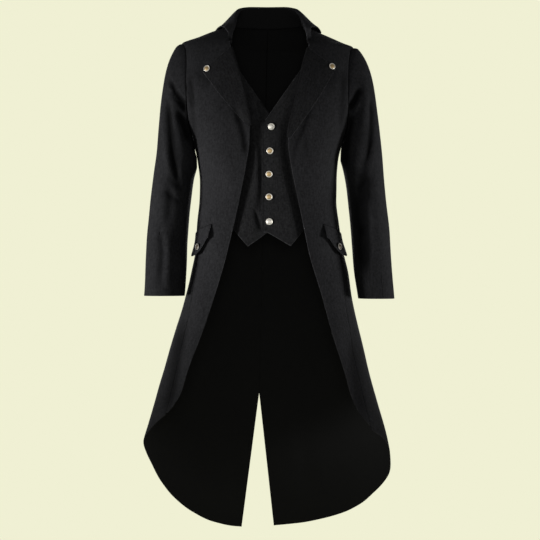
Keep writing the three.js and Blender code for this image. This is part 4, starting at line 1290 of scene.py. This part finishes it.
def brass(name, rim_colour, dome_colour, patina, metallic, roughness):
    """Aged brass: bright round the rim, partly wear and partly a painted highlight, its own colour
    on the dome, darker with patina in the groove between them and in blotches, and darker at the
    very edge as a painted shadow where the cap meets the cloth."""

    def build(tree, shader):
        place = node(tree, "ShaderNodeTexCoord").outputs["Object"]
        crown = node(tree, "ShaderNodeAttribute", attribute_name="crown").outputs["Fac"]
        blotch = node(tree, "ShaderNodeTexNoise",
                      {"Vector": place, "Scale": 420.0, "Detail": 4.0, "Roughness": 0.6}).outputs["Fac"]
        groove = maths(tree, "ABSOLUTE", maths(tree, "SUBTRACT", crown, GROOVE["at"]))
        open_ = node(tree, "ShaderNodeMapRange", {"Value": groove, "From Max": GROOVE["width"]},
                     interpolation_type="SMOOTHSTEP").outputs[0]
        edge = node(tree, "ShaderNodeMapRange", {
            "Value": crown, "From Min": CAP_EDGE_SHADOW["from"], "From Max": CAP_EDGE_SHADOW["to"]}).outputs[0]
        metal_share = maths(tree, "MULTIPLY", open_, maths(tree, "MULTIPLY_ADD", blotch, 0.9, 0.55))
        # the very edge takes the patina's colour as a painted shadow where the cap meets the cloth
        metal_share = maths(tree, "MULTIPLY", metal_share, edge)
        metal_share = node(tree, "ShaderNodeClamp", {0: metal_share}).outputs[0]
        on_dome = node(tree, "ShaderNodeMapRange", {
            "Value": crown, "From Min": DOME["from"], "From Max": DOME["to"],
        }, interpolation_type="SMOOTHSTEP").outputs[0]
        metal = blended(tree, on_dome, (*rim_colour, 1), (*dome_colour, 1))
        tree.links.new(blended(tree, metal_share, (*patina, 1), metal), shader.inputs["Base Color"])
        rough = maths(tree, "MULTIPLY_ADD", metal_share, -0.1, roughness + 0.1)
        tree.links.new(rough, shader.inputs["Roughness"])
        shader.inputs["Metallic"].default_value = metallic

    return material(name, build)


def aged_brass():
    """The usual cap: a golden dome inside a near-white rim, partly worn bright and partly a
    painted highlight.
    """
    return brass("Aged brass", colours().brass, colours().gold, colours().patina, 0.85, 0.5)


def highlight_brass():
    """A cap made near-white all over: a painted highlight."""
    return brass("Bright brass", colours().brass, colours().brass, np.array(colours().brass) * 0.85,
                 1.0, 0.55)


def darkened_brass():
    """A cap on a flap: the brass colours made far darker, and less metallic."""
    return brass("Dull brass", np.array(colours().brass) * 0.22, np.array(colours().gold) * 0.07,
                 np.array(colours().patina) * 0.1, 0.3, 0.5)


# ---------------------------------------------------------------- settings


def length(name, description, default):
    """A length that a user may change."""
    return FloatProperty(name=name, description=description, default=default, min=0,
                         unit="LENGTH", subtype="DISTANCE", precision=4)


def colour(name, description, default):
    """A colour that a user may change."""
    return FloatVectorProperty(name=name, description=description, default=tuple(default),
                               size=3, min=0, max=1, subtype="COLOR")


def power(name, description, default):
    """A light's power that a user may change."""
    return FloatProperty(name=name, description=description, default=default, min=0, unit="POWER")


class TailcoatSizes(bpy.types.PropertyGroup):
    """Thicknesses of the cloth and how uneven it hangs."""

    coat_cloth: length("Coat cloth", "Thickness of the coat's cloth with its lining", 0.0020)
    waistcoat_cloth: length("Waistcoat cloth", "Thickness of the waistcoat fronts", 0.0018)
    folded_cloth: length("Folded cloth", "Thickness of a lapel or flap, two layers together", 0.0022)
    collar_cloth: length("Collar", "Thickness of the collar, two layers round a stiffener", 0.0030)
    ripple: length("Ripple", "Usual height of the soft unevenness of the hanging cloth", 0.0005)


class TailcoatColours(bpy.types.PropertyGroup):
    """Colours of the cloth and the brass."""

    coat: colour("Coat", "Colour of the coat's twill", (0.0177, 0.0177, 0.0188))
    lapel: colour("Lapels", "Colour of the lapels", (0.0141, 0.0141, 0.0147))
    waistcoat: colour("Waistcoat", "Colour of the waistcoat fronts", (0.0176, 0.0176, 0.0182))
    lining: colour("Lining", "Colour of the lining", (0.0147, 0.0147, 0.0147))
    # near-white: partly brass worn bright, partly a painted highlight on the rims and on two whole caps
    brass: colour("Bright brass", "Colour of brass worn bright on the snaps", (1.0, 0.96, 0.86))
    gold: colour("Brass", "Colour of the snaps' domes", (0.70, 0.51, 0.26))
    patina: colour("Patina", "Colour of aged brass in the snaps' grooves", (0.28, 0.22, 0.14))


class TailcoatStage(bpy.types.PropertyGroup):
    """Floor, backdrop and lights."""

    paper: colour("Paper", "Colour of the floor and background", (0.871, 0.871, 0.658))
    ambient: FloatProperty(name="Ambient", description="Strength of the even light from all round",
                           default=0.12, min=0)
    right_power: power("Right light", "Power of the light to the wearer's right", 3.3)
    left_power: power("Left light", "Power of the light to the wearer's left", 2.05)
    front_power: power("Front light", "Power of the weak light in front", 1.1)
    back_power: power("Back lights", "Power of each large light behind", 58.0)


def sizes():
    """The scene's size settings."""
    return bpy.context.scene.tailcoat_sizes


def colours():
    """The scene's colour settings."""
    return bpy.context.scene.tailcoat_colours


# ---------------------------------------------------------------- operators


class TAILCOAT_OT_backs(bpy.types.Operator):
    """Build the two backs, from the shoulders to the tails"""

    bl_idname = "tailcoat.backs"
    bl_label = "Backs"

    def execute(self, context):
        for side in SIDES:
            piece = back(side)
            hang(piece, f"back_{side}")
        return {"FINISHED"}


class TAILCOAT_OT_fronts(bpy.types.Operator):
    """Build the two cutaway fronts"""

    bl_idname = "tailcoat.fronts"
    bl_label = "Fronts"

    def execute(self, context):
        for side in SIDES:
            piece = front(side)
            hang(piece, f"front_{side}")
        return {"FINISHED"}


class TAILCOAT_OT_sleeves(bpy.types.Operator):
    """Build the top and under sleeves"""

    bl_idname = "tailcoat.sleeves"
    bl_label = "Sleeves"

    def execute(self, context):
        outer_seam, inner_seam = SLEEVE_SEAMS
        for side in SIDES:
            for name, start, end in (
                ("top_sleeve", outer_seam, inner_seam), ("under_sleeve", inner_seam - 360, outer_seam),
            ):
                piece = sleeve_half(side, name, start, end)
                hang(piece, f"{name}_{side}")
        return {"FINISHED"}


class TAILCOAT_OT_lapels(bpy.types.Operator):
    """Build the turned-back lapels and the snaps at their corners"""

    bl_idname = "tailcoat.lapels"
    bl_label = "Lapels"

    def execute(self, context):
        for side in SIDES:
            piece = lapel(side)
            hang(piece, f"lapel_{side}")
            x, z = LAPEL_SNAPS[side]
            angle = angle_at(SIDES[side]["sign"] * x, z)
            cap = snap_on_body(f"lapel_snap_{side}_cap", angle, z, LAPEL_REST["roll"], aged_brass())
            hang(cap, f"lapel_snap_{side}")
        return {"FINISHED"}


class TAILCOAT_OT_collar(bpy.types.Operator):
    """Build the standing collar with its fall"""

    bl_idname = "tailcoat.collar"
    bl_label = "Collar"

    def execute(self, context):
        piece = collar()
        hang(piece, "collar")
        return {"FINISHED"}


class TAILCOAT_OT_waistcoat(bpy.types.Operator):
    """Build the waistcoat fronts and their row of snaps"""

    bl_idname = "tailcoat.waistcoat"
    bl_label = "Waistcoat"

    def execute(self, context):
        for number, (x, z) in enumerate(WAISTCOAT_SNAPS, 1):
            # two snaps get near-white brass as a painted highlight
            finish = highlight_brass() if number in HIGHLIGHT_SNAPS else aged_brass()
            cap = snap_on_body(f"waistcoat_snap_{number}_cap", angle_at(x, z), z,
                               WAISTCOAT_LIFT["middle"], finish)
            hang(cap, f"waistcoat_snap_{number}")
        for side in SIDES:
            piece = waistcoat(side)
            hang(piece, f"waistcoat_{side}")
        return {"FINISHED"}


class TAILCOAT_OT_flaps(bpy.types.Operator):
    """Build the pointed pocket flaps and their snaps"""

    bl_idname = "tailcoat.flaps"
    bl_label = "Flaps"

    def execute(self, context):
        for side in SIDES:
            piece = flap(side)
            hang(piece, f"flap_{side}")
            angle, z = flap_place(FLAP["snap_share"], FLAP["snap_drop"])
            lift = FLAP_SNAP_LIFT + flap_lift(
                FLAP["snap_share"], FLAP["snap_drop"], sizes().folded_cloth / MM)
            cap = snap_on_body(
                f"flap_snap_{side}_cap", SIDES[side]["sign"] * angle, z, lift, darkened_brass())
            hang(cap, f"flap_snap_{side}")
        return {"FINISHED"}


VIEW = {"x": 0.00625, "distance": 4.0, "height": -0.59, "half_width": 0.675}
FLOOR = {"z": -1.45, "radius": 1.05, "segments": 128}

# Each light's place, as degrees round from the front and up, its distance from a point at the middle
# of the coat at the aimed height, its width and height in metres, and how wide it spreads, in degrees.
LIGHTS = [dict(zip(("name", "round", "up", "distance", "aim", "size", "spread"), row)) for row in (
    ("right", -71, -10, 2.7, -0.4, (0.6, 0.6), 31),
    ("left", 80, -10, 2.7, -0.42, (0.6, 0.6), 31),
    ("front", 0, 0, 4.2, -0.35, (1.0, 1.0), 38),
    ("back right", -166, 15, 3.2, -0.59, (1.2, 2.4), 180),
    ("back left", 166, 15, 3.2, -0.59, (1.2, 2.4), 180),
)]


class TAILCOAT_OT_stage(bpy.types.Operator):
    """Set up the floor, the background, the lights and the camera"""

    bl_idname = "tailcoat.stage"
    bl_label = "Stage"

    def execute(self, context):
        stage = context.scene.tailcoat_stage
        turn = np.linspace(0, 2 * np.pi, FLOOR["segments"], endpoint=False)
        radius = FLOOR["radius"] / MM
        height = np.full_like(turn, FLOOR["z"] / MM)
        rim = np.stack([radius * np.cos(turn), radius * np.sin(turn), height], -1)

        def build(tree, shader):
            shader.inputs["Base Color"].default_value = (*stage.paper, 1)
            shader.inputs["Roughness"].default_value = 0.9
            shader.inputs["Specular IOR Level"].default_value = 0.1

        floor = new_piece("floor", rim, [list(range(FLOOR["segments"]))], (material("Paper", build),))
        self.set_world(context.scene, stage)
        for place in LIGHTS:
            self.add_light(place, getattr(stage, f"{place['name'].split()[0]}_power"))
        self.add_camera(context.scene)
        context.scene.view_settings.view_transform = "Standard"
        return {"FINISHED"}

    def set_world(self, scene, stage):
        """A background of the paper's colour, and a weaker even light from all round."""
        world = bpy.data.worlds.new("Studio")
        world.use_nodes = True
        tree = world.node_tree
        tree.nodes.clear()
        seen, cast = (
            node(tree, "ShaderNodeBackground", {"Color": (*shade, 1), "Strength": strength}).outputs[0]
            for shade, strength in ((stage.paper, 1.0), ((1, 1, 1), stage.ambient)))
        camera_ray = node(tree, "ShaderNodeLightPath").outputs["Is Camera Ray"]
        both = node(tree, "ShaderNodeMixShader", {0: camera_ray, 1: cast, 2: seen}).outputs[0]
        node(tree, "ShaderNodeOutputWorld", {"Surface": both})
        scene.world = world

    def add_light(self, place, power):
        """An area light that faces the coat."""
        light = bpy.data.lights.new(f"{place['name'].capitalize()} light", "AREA")
        light.shape, (light.size, light.size_y) = "RECTANGLE", place["size"]
        light.energy = power
        light.spread = np.radians(place["spread"])
        lamp = bpy.data.objects.new(light.name, light)
        a, e = np.radians(place["round"]), np.radians(place["up"])
        way = Vector((np.sin(a) * np.cos(e), -np.cos(a) * np.cos(e), np.sin(e)))
        lamp.location = Vector((0, 0, place["aim"])) + way * place["distance"]
        lamp.rotation_euler = way.to_track_quat("Z", "Y").to_euler()
        bpy.context.scene.collection.objects.link(lamp)

    def add_camera(self, scene):
        """A level camera in front, wide enough to hold VIEW's half width to each side."""
        lens = bpy.data.cameras.new("Camera")
        lens.sensor_fit = "HORIZONTAL"
        lens.angle = 2 * np.arctan(VIEW["half_width"] / VIEW["distance"])
        lens.clip_end = 50
        camera = bpy.data.objects.new("Camera", lens)
        camera.location = (VIEW["x"], -VIEW["distance"], VIEW["height"])
        camera.rotation_euler = (np.pi / 2, 0, 0)
        scene.collection.objects.link(camera)
        scene.camera = camera


class TAILCOAT_PT_panel(bpy.types.Panel):
    """The coat's pieces and settings"""

    bl_label = "Tailcoat"
    bl_idname = "TAILCOAT_PT_panel"
    bl_space_type = "VIEW_3D"
    bl_region_type = "UI"
    bl_category = "Tailcoat"

    def draw(self, context):
        layout = self.layout
        for operator in OPERATORS:
            layout.operator(operator.bl_idname)
        for group in (context.scene.tailcoat_sizes, context.scene.tailcoat_colours,
                      context.scene.tailcoat_stage):
            box = layout.box()
            for name in group.bl_rna.properties.keys():
                if name not in ("rna_type", "name"):
                    box.prop(group, name)


OPERATORS = (
    TAILCOAT_OT_stage, TAILCOAT_OT_backs, TAILCOAT_OT_fronts, TAILCOAT_OT_sleeves,
    TAILCOAT_OT_waistcoat, TAILCOAT_OT_lapels, TAILCOAT_OT_collar, TAILCOAT_OT_flaps,
)
SETTINGS = {
    "tailcoat_sizes": TailcoatSizes, "tailcoat_colours": TailcoatColours,
    "tailcoat_stage": TailcoatStage,
}


def register():
    for group in SETTINGS.values():
        bpy.utils.register_class(group)
    for name, group in SETTINGS.items():
        setattr(bpy.types.Scene, name, PointerProperty(type=group))
    for operator in OPERATORS:
        bpy.utils.register_class(operator)
    bpy.utils.register_class(TAILCOAT_PT_panel)


def unregister():
    bpy.utils.unregister_class(TAILCOAT_PT_panel)
    for operator in reversed(OPERATORS):
        bpy.utils.unregister_class(operator)
    for name, group in SETTINGS.items():
        delattr(bpy.types.Scene, name)
        bpy.utils.unregister_class(group)


def main():
    register()
    bpy.ops.tailcoat.stage()
    bpy.ops.tailcoat.backs()
    bpy.ops.tailcoat.fronts()
    bpy.ops.tailcoat.sleeves()
    bpy.ops.tailcoat.waistcoat()
    bpy.ops.tailcoat.lapels()
    bpy.ops.tailcoat.collar()
    bpy.ops.tailcoat.flaps()


if __name__ == "__main__":
    main()
